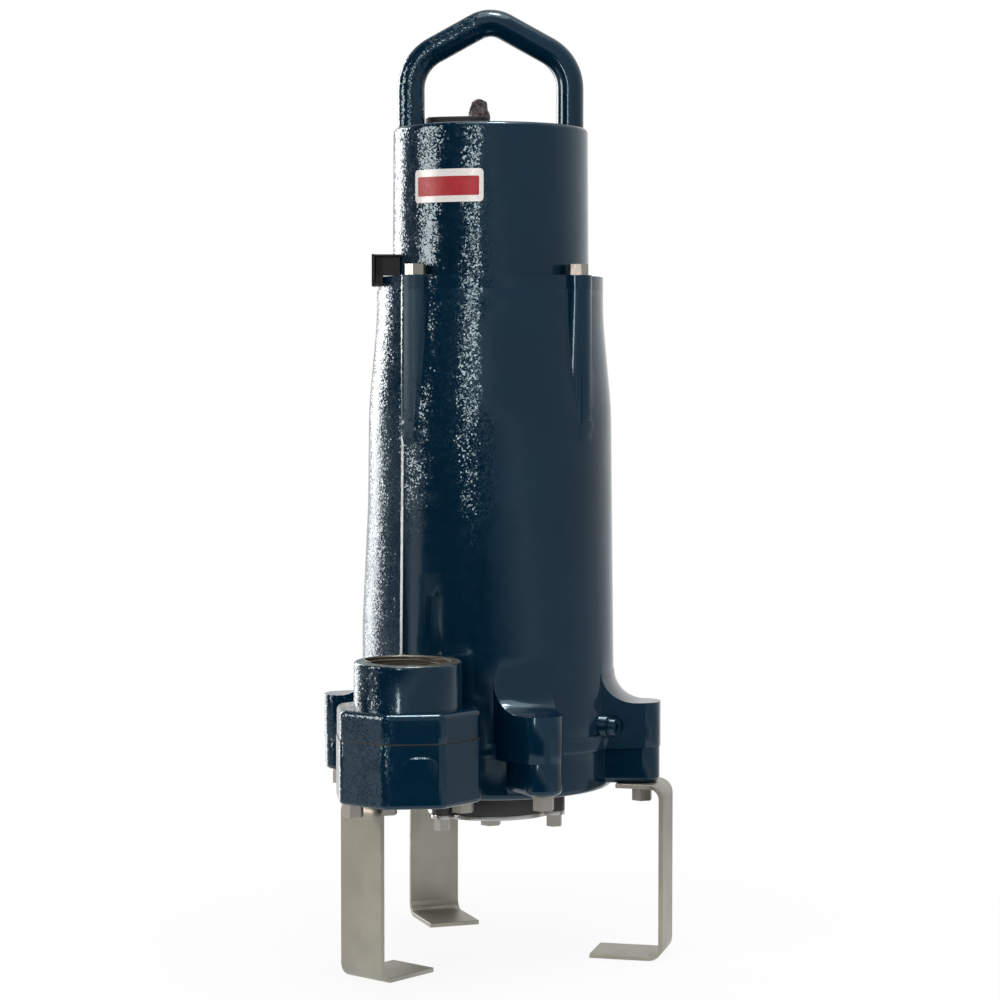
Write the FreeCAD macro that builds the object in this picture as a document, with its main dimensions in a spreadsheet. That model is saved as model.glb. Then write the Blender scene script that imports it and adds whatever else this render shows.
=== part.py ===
import FreeCAD, Part
import math
import os
import Sketcher

# A submersible centrifugal grinder pump on three strip legs, in millimetres.
# The origin is on the shaft axis at the floor, +Z up, and the right leg stands on +X.
# Angles are in degrees from +X, counted towards +Y.

SIZES = {
    # Stack of the castings, from the floor up
    "leg_height": 124.5,
    "skirt_drop": 4.0,
    "casing_depth": 25.5,
    "ring_thickness": 10.4,
    "lug_rise": 31.5,
    "lug_sweep": 21.0,
    "cap_flange_thickness": 9.5,
    "cap_height": 114.0,
    # Volute casing
    "casing_radius": 87.0,
    "casing_chamfer": 4.0,
    "chamber_radius": 66.0,
    "floor_thickness": 8.5,
    "suction_radius": 31.0,
    "seal_groove": 80.0,
    "outlet_radius": 9.0,
    "outlet_offset": 52.0,
    # Lugs, on one bolt circle
    "lug_circle": 108.8,
    "lug_radius": 13.0,
    "lug_lead": 20.0,
    "lug_trail": 9.0,
    "lower_lug_radius": 12.4,
    "lower_lug_lead": 13.0,
    "lower_lug_edge": 4.0,
    "plain_lug_lift": 3.0,
    "bolt_size": 8.0,
    "bolt_clearance": 0.6,
    "thread_depth": 22.0,
    # Motor housing. The stator stack stands above the bearing web, the shoulder and the
    # bracket's seat stand above the stack, the neck above the shoulder, the rim above the neck.
    "ring_radius": 89.8,
    "base_radius": 88.0,
    "shoulder_radius": 85.4,
    "shoulder_height": 8.0,
    "neck_radius": 79.6,
    "neck_height": 62.0,
    "housing_height": 20.0,
    "shoulder_blend": 260.0,
    "column_circle": 79.0,
    "column_radius": 10.0,
    "column_start": 205.0,
    "column_fade": 40.0,
    "pilaster_radius": 91.3,
    "pilaster_bend": 75.0,
    "pilaster_top": 158.0,
    "pilaster_step": 0.9,
    "pilaster_angle": 190.5,
    "pilaster_sweep": 87.0,
    "motor_bore": 70.0,
    "bracket_bore": 72.0,
    "bracket_seat": 32.0,
    "oil_bore": 66.0,
    "seal_recess": 72.0,
    "seal_plate_thickness": 12.0,
    "web_start": 48.0,
    "web_thickness": 24.0,
    "plug_angle": -17.0,
    "plug_height": 16.0,
    "plug_boss_radius": 8.5,
    "plug_reach": 94.0,
    # Cap
    "cap_radius": 68.6,
    "cap_draft": 0.7,
    "cap_wall": 6.0,
    "cap_roof": 8.0,
    "cap_edge": 3.5,
    "spigot_depth": 8.0,
    "ring_section": 2.7,
    # Lifting handle
    "handle_angle": 10.7,
    "handle_bar": 19.0,
    "handle_half_span": 56.0,
    "handle_shoulder": 46.6,
    "handle_apex": 77.4,
    "shoulder_bend": 31.0,
    "apex_bend": 20.6,
    "socket_depth": 20.0,
    "socket_wall": 4.5,
    # Discharge
    "discharge_angle": 254.0,
    "discharge_circle": 123.0,
    "discharge_flats": 95.0,
    "discharge_turn": -72.6,
    "discharge_corner": 8.0,
    "discharge_edge": 4.0,
    "boss_lift": 1.5,
    "boss_height": 42.5,
    "boss_edge": 3.0,
    "gasket_thickness": 1.0,
    "discharge_flange_thickness": 19.5,
    "hub_radius": 36.5,
    "hub_height": 30.5,
    "hub_edge": 2.5,
    "pipe_thread_radius": 29.0,
    "pipe_thread_length": 24.0,
    "discharge_bore": 24.0,
    "discharge_bolt_circle": 38.0,
    "discharge_bolt_angle": 25.0,
    "casting_gap": 0.8,
    # Legs
    "leg_width": 38.1,
    "leg_thickness": 3.2,
    "leg_bend": 7.3,
    "leg_reach": 131.0,
    "leg_slide": 3.5,
    "leg_turn": -3.3,
    "foot_length": 52.5,
    "leg_flange_length": 34.0,
    "leg_slot_offset": 22.0,
    "leg_slot_travel": 10.0,
    # Suction end
    "suction_ring_radius": 45.0,
    "suction_ring_height": 17.8,
    "ear_circle": 47.0,
    "ear_radius": 7.5,
    "ear_angle": -6.0,
    "cutter_plate_thickness": 3.0,
    "cutter_bore": 24.0,
    "cutter_notch": 5.0,
    "cutter_notch_depth": 5.0,
    "cutter_height": 9.0,
    "cutter_hub": 11.0,
    "cutter_blade": 8.0,
    "small_bolt": 6.0,
    # Shaft line
    "cutter_shaft": 7.0,
    "impeller_shaft": 9.0,
    "seal_shaft": 10.0,
    "lower_bearing_bore": 12.5,
    "rotor_shaft": 14.5,
    "upper_bearing_bore": 8.5,
    "impeller_radius": 60.0,
    "impeller_hub": 14.0,
    "impeller_disc": 4.0,
    "impeller_vane": 11.5,
    "impeller_gap": 1.5,
    "vane_thickness": 3.2,
    "seal_seat_radius": 18.0,
    "seal_head_radius": 16.5,
    "seal_seat_length": 7.0,
    "lower_bearing_radius": 26.0,
    "lower_bearing_width": 15.0,
    "lower_ball": 4.0,
    "upper_bearing_radius": 20.0,
    "upper_bearing_width": 12.0,
    "upper_ball": 3.0,
    "stator_bore": 39.0,
    "air_gap": 0.5,
    "stack_start": 33.0,
    "stack_length": 125.0,
    "winding_length": 24.0,
    "winding_wall": 20.0,
    # Start capacitor and terminal block
    "capacitor_radius": 17.0,
    "capacitor_length": 92.0,
    "terminal_radius": 3.0,
    "terminal_rise": 6.0,
    "block_length": 34.0,
    "block_width": 20.0,
    "block_height": 18.0,
    "block_offset": 48.0,
    "block_rib": 5.0,
    "block_rib_depth": 14.0,
    "block_rib_rise": 6.0,
    # Small pieces on the cap
    "plate_angle": -106.0,
    "plate_sweep": 44.0,
    "plate_low": 59.0,
    "plate_height": 23.0,
    "plate_thickness": 0.8,
    "cover_length": 46.0,
    "cover_width": 26.0,
    "cover_thickness": 3.0,
    "cover_setback": 14.5,
    "cover_offset": 23.5,
    "inlet_screw": 2.0,
    "inlet_screw_head": 3.5,
    "inlet_screw_rise": 2.4,
    "gland_offset": 8.5,
    "gland_radius": 8.0,
    "gland_height": 20.0,
    "gland_bore": 4.0,
    "grommet_wall": 1.2,
    "bracket_angle": 200.5,
    "bracket_depth": 13.0,
    "bracket_width": 22.0,
    "bracket_height": 20.0,
    "bracket_sheet": 2.0,
    "bracket_opening": 7.0,
    # Fits
    "fit_gap": 0.05,
    "spin_gap": 0.3,
}

LUG_ANGLES = (0, 60, 120, 180, 240, 300)
CASING_BOLT_ANGLES = (60, 180, 300)
LEG_BOLT_ANGLES = (0, 120)
FRONT_LEG_ANGLE = 240
COLUMN_ANGLES = (60, 150, 240, 330)

doc = FreeCAD.newDocument("CentrifugalPump")
sheet = doc.addObject("Spreadsheet::Sheet", "Sizes")
for row, (alias, number) in enumerate(SIZES.items(), start=1):
    sheet.set("A%d" % row, alias)
    sheet.set("B%d" % row, str(number))
    sheet.setAlias("B%d" % row, alias)
doc.recompute()


class Size:
    """A length or angle that carries its number and the sheet formula behind it."""

    def __init__(self, number, formula):
        self.number = float(number)
        self.formula = formula

    def __add__(self, other):
        other = as_size(other)
        return Size(self.number + other.number, "(%s + %s)" % (self.formula, other.formula))

    def __sub__(self, other):
        other = as_size(other)
        return Size(self.number - other.number, "(%s - %s)" % (self.formula, other.formula))

    def __mul__(self, other):
        other = as_size(other)
        return Size(self.number * other.number, "(%s * %s)" % (self.formula, other.formula))

    def __truediv__(self, other):
        other = as_size(other)
        return Size(self.number / other.number, "(%s / %s)" % (self.formula, other.formula))

    def __radd__(self, other):
        return as_size(other) + self

    def __rsub__(self, other):
        return as_size(other) - self

    def __rmul__(self, other):
        return as_size(other) * self

    def __neg__(self):
        return as_size(0) - self


def as_size(value):
    if isinstance(value, Size):
        return value
    return Size(value, repr(float(value)))


def size(alias):
    """The named cell of the sheet."""
    return Size(sheet.get(alias), "Sizes.%s" % alias)


def cosine(angle):
    angle = as_size(angle)
    return Size(math.cos(math.radians(angle.number)), "cos(%s * 1 deg)" % angle.formula)


def sine(angle):
    angle = as_size(angle)
    return Size(math.sin(math.radians(angle.number)), "sin(%s * 1 deg)" % angle.formula)


def polar(radius, angle, centre=(0, 0)):
    """A point at a radius and an angle, about the shaft axis or another centre."""
    return (centre[0] + as_size(radius) * cosine(angle), centre[1] + as_size(radius) * sine(angle))


def bind(item, **settings):
    """Bind properties of a document object to sheet formulas."""
    for name, value in settings.items():
        item.setExpression(name, as_size(value).formula)


def place(item, x=0, y=0, z=0, turn=None):
    """Put an object at a point, turned about Z, with its coordinates bound to the sheet."""
    if turn is not None:
        item.Placement = FreeCAD.Placement(
            FreeCAD.Vector(0, 0, 0), FreeCAD.Rotation(FreeCAD.Vector(0, 0, 1), as_size(turn).number))
        item.setExpression("Placement.Rotation.Angle", as_size(turn).formula + " * 1 deg")
    for axis, value in zip("xyz", (x, y, z)):
        item.setExpression("Placement.Base.%s" % axis, as_size(value).formula)
    return item


def cylinder(radius, height, x=0, y=0, z=0):
    item = doc.addObject("Part::Cylinder", "Round")
    bind(item, Radius=radius, Height=height)
    return place(item, x, y, z)


def ring(outer, inner, height, x=0, y=0, z=0):
    return cut(cylinder(outer, height, x, y, z), [cylinder(inner, as_size(height) + 2, x, y, as_size(z) - 1)])


def prism(sides, flats, height, x=0, y=0, z=0, turn=0):
    """A regular prism given by its width across flats, with a flat facing the turn angle."""
    item = doc.addObject("Part::Prism", "Prism")
    item.Polygon = sides
    bind(item, Circumradius=as_size(flats) / (2 * math.cos(math.pi / sides)), Height=height)
    return place(item, x, y, z, as_size(turn) + 180 / sides)


def box(length, width, height, x=0, y=0, z=0, turn=None):
    item = doc.addObject("Part::Box", "Block")
    bind(item, Length=length, Width=width, Height=height)
    return place(item, x, y, z, turn)


def radial_box(inner, outer, width, height, z, angle):
    """A block that runs outwards from the shaft axis at an angle, centred on that line."""
    angle = as_size(angle)
    width = as_size(width)
    x = as_size(inner) * cosine(angle) + width / 2 * sine(angle)
    y = as_size(inner) * sine(angle) - width / 2 * cosine(angle)
    return box(as_size(outer) - inner, width, height, x, y, z, angle)


def fuse(items):
    if len(items) == 1:
        return items[0]
    item = doc.addObject("Part::MultiFuse", "Joined")
    item.Shapes = items
    return item


def cut(base, tools):
    item = doc.addObject("Part::Cut", "Trimmed")
    item.Base = base
    item.Tool = fuse(tools)
    return item


def common(first, second):
    item = doc.addObject("Part::Common", "Shared")
    item.Base = first
    item.Tool = second
    return item


def group(items):
    """Several equal pieces that share one node, each its own solid."""
    item = doc.addObject("Part::Compound", "Group")
    item.Links = items
    return item


def origin_plane(body, role):
    return next(item for item in body.Origin.OriginFeatures if item.Role == role)


def fixed_outline(body, name, role, points):
    """A closed sketch whose corners are bound to the sheet. A corner with a third value
    is rounded by a tangent arc of that radius, and its point stays as a construction point."""
    sketch = body.newObject("Sketcher::SketchObject", name)
    sketch.AttachmentSupport = (origin_plane(body, role), [""])
    sketch.MapMode = "FlatFace"
    corners = [tuple(as_size(value) for value in point) for point in points]
    vectors = [FreeCAD.Vector(corner[0].number, corner[1].number, 0) for corner in corners]
    count = len(corners)
    leaves = list(vectors)
    arrives = list(vectors)
    bends = {}
    for index, corner in enumerate(corners):
        if len(corner) == 3:
            before = vectors[index - 1]
            after = vectors[(index + 1) % count]
            arrives[index], middle, leaves[index] = bend_points(before, vectors[index], after, corner[2].number)
            bends[index] = middle
    for index in range(count):
        sketch.addGeometry(Part.LineSegment(leaves[index], arrives[(index + 1) % count]), False)
    for index, corner in enumerate(corners):
        previous = (index - 1) % count
        if index in bends:
            add_bend(sketch, previous, index, arrives[index], bends[index], leaves[index], corner[2])
            holder = sketch.addGeometry(Part.Point(vectors[index]), True)
            for line in (previous, index):
                sketch.addConstraint(Sketcher.Constraint("PointOnObject", holder, 1, line))
        else:
            holder = index
            sketch.addConstraint(Sketcher.Constraint("Coincident", previous, 2, index, 1))
        for kind, axis, value in (("DistanceX", -2, corner[0]), ("DistanceY", -1, corner[1])):
            if value.number == 0:
                sketch.addConstraint(Sketcher.Constraint("PointOnObject", holder, 1, axis))
                continue
            number = sketch.addConstraint(Sketcher.Constraint(kind, -1, 1, holder, 1, value.number))
            sketch.setExpression("Constraints[%d]" % number, value.formula)
    return sketch


def bend_points(before, corner, after, radius):
    """Where a tangent arc at a corner starts, passes and ends."""
    towards = (before - corner).normalize()
    onwards = (after - corner).normalize()
    half_angle = towards.getAngle(onwards) / 2
    reach = radius / math.tan(half_angle)
    bisector = (towards + onwards).normalize()
    middle = corner + bisector * (radius / math.sin(half_angle) - radius)
    return corner + towards * reach, middle, corner + onwards * reach


def add_bend(sketch, line_in, line_out, start, middle, end, radius):
    """A tangent arc between two lines of a sketch, with its radius bound to the sheet."""
    arc = sketch.addGeometry(Part.Arc(start, middle, end), False)
    first, last = (1, 2) if sketch.getPoint(arc, 1).distanceToPoint(start) < 1e-6 else (2, 1)
    sketch.addConstraint(Sketcher.Constraint("Tangent", line_in, 2, arc, first))
    sketch.addConstraint(Sketcher.Constraint("Tangent", arc, last, line_out, 1))
    number = sketch.addConstraint(Sketcher.Constraint("Radius", arc, radius.number))
    sketch.setExpression("Constraints[%d]" % number, radius.formula)


def turned(points, rounds=()):
    """A body turned about the shaft axis from (radius, height) corners.
    Each round is (radius, height, fillet) at one of those corners."""
    body = doc.addObject("PartDesign::Body", "Turned")
    sketch = fixed_outline(body, "Outline", "XZ_Plane", points)
    turn = body.newObject("PartDesign::Revolution", "Turn")
    turn.Profile = sketch
    turn.ReferenceAxis = (sketch, ["V_Axis"])
    turn.Angle = 360
    body.Tip = turn
    for radius, height, fillet in rounds:
        doc.recompute()
        base = body.Tip
        rim = round_edges(base.Shape, as_size(radius).number, as_size(height).number)
        item = body.newObject("PartDesign::Fillet", "Rounding")
        item.Base = (base, rim)
        bind(item, Radius=fillet)
        body.Tip = item
    return body


def round_edges(shape, radius, height):
    """The names of the circular edges about the shaft axis at a radius and a height."""
    names = []
    for number, edge in enumerate(shape.Edges, start=1):
        box_of_edge = edge.BoundBox
        is_level = abs(box_of_edge.ZMax - height) < 1e-4 and abs(box_of_edge.ZMin - height) < 1e-4
        if is_level and abs(box_of_edge.XMax - radius) < 1e-4:
            names.append("Edge%d" % number)
    return names


def rounded_prism(flats, height, x, y, z, edge=None, edge_at_top=True):
    """The eight-sided plate of the discharge, its upright corners rounded, and one end's rim
    rounded too where an edge size is given."""
    reach = as_size(flats) / (2 * math.cos(math.pi / 8))
    points = [polar(reach, 45 * (index + 0.5)) + (size("discharge_corner"),) for index in range(8)]
    body = doc.addObject("PartDesign::Body", "Octagon")
    pad = body.newObject("PartDesign::Pad", "Upright")
    pad.Profile = fixed_outline(body, "Flats", "XY_Plane", points)
    bind(pad, Length=height)
    body.Tip = pad
    if edge is not None:
        soften_rim(body, height if edge_at_top else 0, edge)
    return place(body, x, y, z, size("discharge_turn"))


def soften_rim(body, level, edge):
    """Round a body's edges that lie at a level above its own base."""
    doc.recompute()
    base = body.Tip
    level = as_size(level).number
    names = []
    for number, line in enumerate(base.Shape.Edges, start=1):
        bounds = line.BoundBox
        if abs(bounds.ZMax - level) < 1e-4 and abs(bounds.ZMin - level) < 1e-4:
            names.append("Edge%d" % number)
    fillet = body.newObject("PartDesign::Fillet", "Rim")
    fillet.Base = (base, names)
    bind(fillet, Radius=edge)
    body.Tip = fillet


def shaped(label, shape):
    """A piece whose shape is made with Part's own functions."""
    item = doc.addObject("Part::Feature", label)
    item.Shape = shape
    return item


PIECES = []


def piece(label, item):
    """Name a finished piece, which becomes one node."""
    item.Label = label
    PIECES.append(item)
    return item


# Shared places, all from the sheet
GAP = size("fit_gap")
LUG_UNDERSIDE = size("leg_height")
SKIRT = LUG_UNDERSIDE - size("skirt_drop")
SPLIT = LUG_UNDERSIDE + size("casing_depth")
LUG_TOP = SPLIT + size("lug_rise")
PLAIN_UNDERSIDE = LUG_UNDERSIDE + size("plain_lug_lift")
WEB_LOW = SPLIT + size("web_start")
WEB_HIGH = WEB_LOW + size("web_thickness")
LOWER_BEARING_LOW = WEB_HIGH - size("lower_bearing_width")
STACK_LOW = WEB_HIGH + size("stack_start")
STACK_HIGH = STACK_LOW + size("stack_length")
BRACKET_SEAT = STACK_HIGH + size("bracket_seat")
UPPER_BEARING_LOW = BRACKET_SEAT + 2
SHOULDER = STACK_HIGH + size("shoulder_height")
NECK = SHOULDER + size("neck_height")
HOUSING_TOP = NECK + size("housing_height")
CAP_FLANGE_TOP = HOUSING_TOP + size("cap_flange_thickness")
CAP_TOP = HOUSING_TOP + size("cap_height")
BOSS_BOTTOM = LUG_UNDERSIDE + size("boss_lift")
BOSS_TOP = BOSS_BOTTOM + size("boss_height")
DISCHARGE_SEAT = BOSS_TOP + size("gasket_thickness")
DISCHARGE_TOP = DISCHARGE_SEAT + size("discharge_flange_thickness")
HUB_TOP = DISCHARGE_TOP + size("hub_height")
DISCHARGE = polar(size("discharge_circle"), size("discharge_angle"))
BOLT_RADIUS = size("bolt_size") / 2
HOLE_RADIUS = BOLT_RADIUS + size("bolt_clearance") / 2
CHAMBER_FLOOR = SKIRT + size("floor_thickness")
PLATE_TOP = SKIRT - size("suction_ring_height")
PLATE_BOTTOM = PLATE_TOP - size("cutter_plate_thickness")


def bolt(radius, under_head, length, x, y, head_height, flats):
    """A hex bolt that points up: its head hangs under the seat and its shank rises from it."""
    head = prism(6, flats, head_height, x, y, as_size(under_head) - head_height)
    shank = cylinder(radius, length, x, y, under_head)
    return fuse([head, shank])


def lug(radius, lead, low, high, angle, edge=None):
    """A lug and its web, which spreads to two angles where it meets the wall. An edge size
    rounds the rim of its underside."""
    radius = as_size(radius)
    wall = size("base_radius") - 4
    tip = size("lug_circle") + radius
    points = [
        polar(wall, -as_size(lead)),
        (tip, -radius, radius),
        (tip, radius, radius),
        polar(wall, size("lug_trail")),
    ]
    body = doc.addObject("PartDesign::Body", "Lug")
    pad = body.newObject("PartDesign::Pad", "Upright")
    pad.Profile = fixed_outline(body, "LugOutline", "XY_Plane", points)
    bind(pad, Length=high - low)
    body.Tip = pad
    if edge is not None:
        doc.recompute()
        base = body.Tip
        names = []
        for number, line in enumerate(base.Shape.Edges, start=1):
            bounds = line.BoundBox
            if bounds.ZMax < 1e-4 and bounds.XMax > wall.number + 1:
                names.append("Edge%d" % number)
        fillet = body.newObject("PartDesign::Fillet", "Rim")
        fillet.Base = (base, names)
        bind(fillet, Radius=edge)
        body.Tip = fillet
    return place(body, 0, 0, low, angle)


def volute_casing():
    """The lower casting: chamber, six lugs, discharge boss and the passage between them."""
    outline = [
        (size("suction_radius"), SKIRT),
        (size("casing_radius"), SKIRT),
        (size("casing_radius"), SPLIT),
        (size("chamber_radius"), SPLIT),
        (size("chamber_radius"), CHAMBER_FLOOR),
        (size("suction_radius"), CHAMBER_FLOOR),
    ]
    shell = turned(outline, [(size("casing_radius"), SKIRT, size("casing_chamfer"))])
    solids = [shell]
    for angle in LUG_ANGLES:
        low = PLAIN_UNDERSIDE if angle in CASING_BOLT_ANGLES else LUG_UNDERSIDE
        solids.append(lug(size("lower_lug_radius"), size("lower_lug_lead"), low, SPLIT, angle,
                          size("lower_lug_edge")))
    solids.append(rounded_prism(size("discharge_flats"), size("boss_height"), *DISCHARGE, BOSS_BOTTOM,
                                size("boss_edge"), False))
    above = BOSS_TOP - SPLIT
    clear_radius = size("ring_radius") + size("casting_gap")
    tools = [cylinder(clear_radius, above + 2, z=SPLIT)]
    tools.append(cylinder(size("chamber_radius"), SPLIT - CHAMBER_FLOOR + 1, z=CHAMBER_FLOOR))
    bore_floor = CHAMBER_FLOOR + 2
    tools.append(cylinder(size("discharge_bore"), BOSS_TOP - bore_floor + 1, *DISCHARGE, bore_floor))
    tools.append(outlet_passage())
    for angle in CASING_BOLT_ANGLES + LEG_BOLT_ANGLES:
        x, y = polar(size("lug_circle"), angle)
        tools.append(cylinder(HOLE_RADIUS, SPLIT - LUG_UNDERSIDE + 2, x, y, LUG_UNDERSIDE - 1))
    x, y = polar(size("lug_circle"), FRONT_LEG_ANGLE)
    tools.append(cylinder(BOLT_RADIUS + GAP, size("thread_depth") * 0.7 + 1, x, y, LUG_UNDERSIDE - 1))
    for x, y in discharge_bolt_places():
        tools.append(cylinder(HOLE_RADIUS, size("boss_height") + 2, x, y, BOSS_BOTTOM - 1))
    for x, y in ear_places():
        tools.append(cylinder(size("small_bolt") / 2 + GAP, size("floor_thickness") - 1, x, y, SKIRT - 1))
    groove_depth = size("ring_section") + GAP
    tools.append(ring(size("seal_groove") + 2, size("seal_groove") - 2, groove_depth + 1,
                      z=SPLIT - groove_depth))
    piece("volute_casing", cut(fuse(solids), tools))


def outlet_passage():
    """The bore that leaves the chamber on a tangent and ends under the discharge."""
    swing = math.degrees(math.asin(size("outlet_offset").number / size("discharge_circle").number))
    start = FreeCAD.Vector(DISCHARGE[0].number, DISCHARGE[1].number,
                           CHAMBER_FLOOR.number + size("outlet_radius").number + 2.5)
    heading = math.radians(size("discharge_angle").number + 180 + swing)
    length = math.sqrt(size("discharge_circle").number ** 2 - size("outlet_offset").number ** 2)
    direction = FreeCAD.Vector(math.cos(heading), math.sin(heading), 0)
    return shaped("Passage", Part.makeCylinder(size("outlet_radius").number, length, start, direction))


def discharge_bolt_places():
    angle = size("discharge_bolt_angle")
    return [polar(size("discharge_bolt_circle"), angle + half, DISCHARGE) for half in (0, 180)]


def ear_places():
    return [polar(size("ear_circle"), size("ear_angle") + third) for third in (0, 120, 240)]


def motor_housing():
    """The tall casting that holds the motor: lugs, bolt columns, oil chamber and bearing web."""
    ring_top = SPLIT + size("ring_thickness")
    seal_top = SPLIT + size("seal_plate_thickness")
    outline = [
        (size("ring_radius"), SPLIT),
        (size("ring_radius"), ring_top),
        (size("base_radius"), ring_top),
        (size("shoulder_radius"), SHOULDER, size("shoulder_blend")),
        (size("neck_radius"), NECK, size("shoulder_blend")),
        (size("neck_radius"), HOUSING_TOP),
        (size("bracket_bore") + GAP, HOUSING_TOP),
        (size("bracket_bore") + GAP, BRACKET_SEAT),
        (size("motor_bore") + GAP, BRACKET_SEAT),
        (size("motor_bore") + GAP, WEB_HIGH),
        (size("lower_bearing_radius") + GAP, WEB_HIGH),
        (size("lower_bearing_radius") + GAP, LOWER_BEARING_LOW),
        (size("seal_seat_radius") - 4, LOWER_BEARING_LOW),
        (size("seal_seat_radius") - 4, LOWER_BEARING_LOW - 3),
        (size("seal_seat_radius") + GAP, LOWER_BEARING_LOW - 3),
        (size("seal_seat_radius") + GAP, WEB_LOW),
        (size("oil_bore"), WEB_LOW),
        (size("oil_bore"), seal_top),
        (size("seal_recess") + GAP, seal_top),
        (size("seal_recess") + GAP, SPLIT),
    ]
    shell = turned(outline)
    solids = [shell]
    sweep_top = LUG_TOP + size("lug_sweep")
    lugs = []
    for angle in LUG_ANGLES:
        if angle == FRONT_LEG_ANGLE:
            continue
        lugs.append(lug(size("lug_radius"), size("lug_lead"), SPLIT, sweep_top, angle))
    solids.append(cut(fuse(lugs), [lug_scoop(sweep_top)]))
    solids.append(bolt_columns())
    solids.append(pilaster(ring_top))
    solids.append(plug_cylinder(size("plug_boss_radius"), size("oil_bore") + 6, size("plug_reach")))
    tools = [cylinder(size("motor_bore") + GAP, BRACKET_SEAT - WEB_HIGH, z=WEB_HIGH)]
    tools.append(cylinder(size("bracket_bore") + GAP, HOUSING_TOP - BRACKET_SEAT + 1, z=BRACKET_SEAT))
    tools.append(cylinder(size("hub_radius") + size("casting_gap"), HUB_TOP - SPLIT + 30, *DISCHARGE,
                          SPLIT + size("ring_thickness")))
    tools.append(plug_cylinder(size("small_bolt") / 2 + 2 + GAP, size("oil_bore") - 3, size("plug_reach") + 1))
    tools.append(plug_cylinder(size("plug_boss_radius"), size("plug_reach"), size("plug_reach") + 12))
    for angle in CASING_BOLT_ANGLES + LEG_BOLT_ANGLES:
        x, y = polar(size("lug_circle"), angle)
        tools.append(cylinder(BOLT_RADIUS + GAP, size("thread_depth") + 1, x, y, SPLIT - 1))
    for angle in COLUMN_ANGLES:
        x, y = polar(size("column_circle"), angle)
        tools.append(cylinder(BOLT_RADIUS + GAP, size("thread_depth") + 1, x, y,
                              HOUSING_TOP - size("thread_depth")))
    piece("motor_housing", cut(fuse(solids), tools))


def lug_scoop(sweep_top):
    """The revolved hollow above the lugs, whose concave sweep runs up into the housing wall."""
    inner = size("base_radius").number
    outer = size("lug_circle").number + size("lug_radius").number + 6
    low = LUG_TOP.number
    high = sweep_top.number
    radius = high - low
    start = FreeCAD.Vector(inner, 0, high)
    bottom = FreeCAD.Vector(inner + radius, 0, low)
    middle = FreeCAD.Vector(inner + radius * (1 - math.sqrt(0.5)), 0, high - radius * math.sqrt(0.5))
    corner_low = FreeCAD.Vector(outer, 0, low)
    corner_high = FreeCAD.Vector(outer, 0, high + 1)
    corner_in = FreeCAD.Vector(inner, 0, high + 1)
    edges = [
        Part.Arc(start, middle, bottom).toShape(),
        Part.LineSegment(bottom, corner_low).toShape(),
        Part.LineSegment(corner_low, corner_high).toShape(),
        Part.LineSegment(corner_high, corner_in).toShape(),
        Part.LineSegment(corner_in, start).toShape(),
    ]
    face = Part.Face(Part.Wire(edges))
    return shaped("Scoop", face.revolve(FreeCAD.Vector(0, 0, 0), FreeCAD.Vector(0, 0, 1), 360))


def bolt_columns():
    """The four columns for the cap bolts, which grow out of the wall below the shoulder."""
    low = SPLIT + size("column_start")
    reach = size("column_circle") + size("column_radius") + 1
    columns = []
    for angle in COLUMN_ANGLES:
        x, y = polar(size("column_circle"), angle)
        columns.append(cylinder(size("column_radius"), HOUSING_TOP - low, x, y, low))
    envelope = turned([
        (0, low),
        (size("shoulder_radius") - 1, low),
        (reach, low + size("column_fade")),
        (reach, HOUSING_TOP + 1),
        (0, HOUSING_TOP + 1),
    ])
    return common(fuse(columns), envelope)


def pilaster(low):
    """The wide raised band on the housing's left side: thick at its foot, thin above."""
    inner = size("bracket_bore") + 4
    blend = size("shoulder_blend")
    step = size("pilaster_step")
    points = [
        (inner, low),
        (size("pilaster_radius"), low),
        (size("pilaster_radius"), low + size("pilaster_bend"), blend),
        (size("shoulder_radius") + step * 2, low + size("pilaster_top"), blend),
        (size("shoulder_radius") + step, SHOULDER, blend),
        (size("neck_radius") + step, NECK, blend),
        (size("neck_radius") + step, HOUSING_TOP),
        (inner, HOUSING_TOP),
    ]
    body = doc.addObject("PartDesign::Body", "Band")
    sketch = fixed_outline(body, "BandOutline", "XZ_Plane", points)
    turn = body.newObject("PartDesign::Revolution", "Turn")
    turn.Profile = sketch
    turn.ReferenceAxis = (sketch, ["V_Axis"])
    turn.Midplane = True
    bind(turn, Angle=size("pilaster_sweep"))
    body.Tip = turn
    place(body, turn=size("pilaster_angle"))
    clear = rounded_prism(size("discharge_flats") + size("casting_gap") * 2, DISCHARGE_TOP - low + 3,
                          *DISCHARGE, low - 1)
    return cut(body, [clear])


def plug_cylinder(radius, inner, outer):
    """A cylinder along the oil plug's axis, which points outwards from the oil chamber."""
    angle = math.radians(size("plug_angle").number)
    direction = FreeCAD.Vector(math.cos(angle), math.sin(angle), 0)
    height = SPLIT.number + size("plug_height").number
    start = direction * inner.number + FreeCAD.Vector(0, 0, height)
    return shaped("PlugAxis", Part.makeCylinder(radius.number, outer.number - inner.number, start, direction))


def oil_plug():
    angle = math.radians(size("plug_angle").number)
    direction = FreeCAD.Vector(math.cos(angle), math.sin(angle), 0)
    height = SPLIT.number + size("plug_height").number
    seat = direction * size("plug_reach").number + FreeCAD.Vector(0, 0, height)
    thread = size("small_bolt").number / 2 + 2
    stem_length = size("plug_reach").number - size("oil_bore").number - 8
    stem = Part.makeCylinder(thread, stem_length, seat - direction * stem_length, direction)
    collar = Part.makeCylinder(thread + 2.4, 1.6, seat, direction)
    head_end = seat + direction * 1.6
    head = Part.makeCylinder(thread + 1.4, 4, head_end, direction)
    socket = Part.makeCylinder(2.6, 3, head_end + direction * 1.5, direction)
    piece("oil_plug", shaped("OilPlug", stem.fuse([collar, head]).cut(socket).removeSplitter()))


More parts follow.
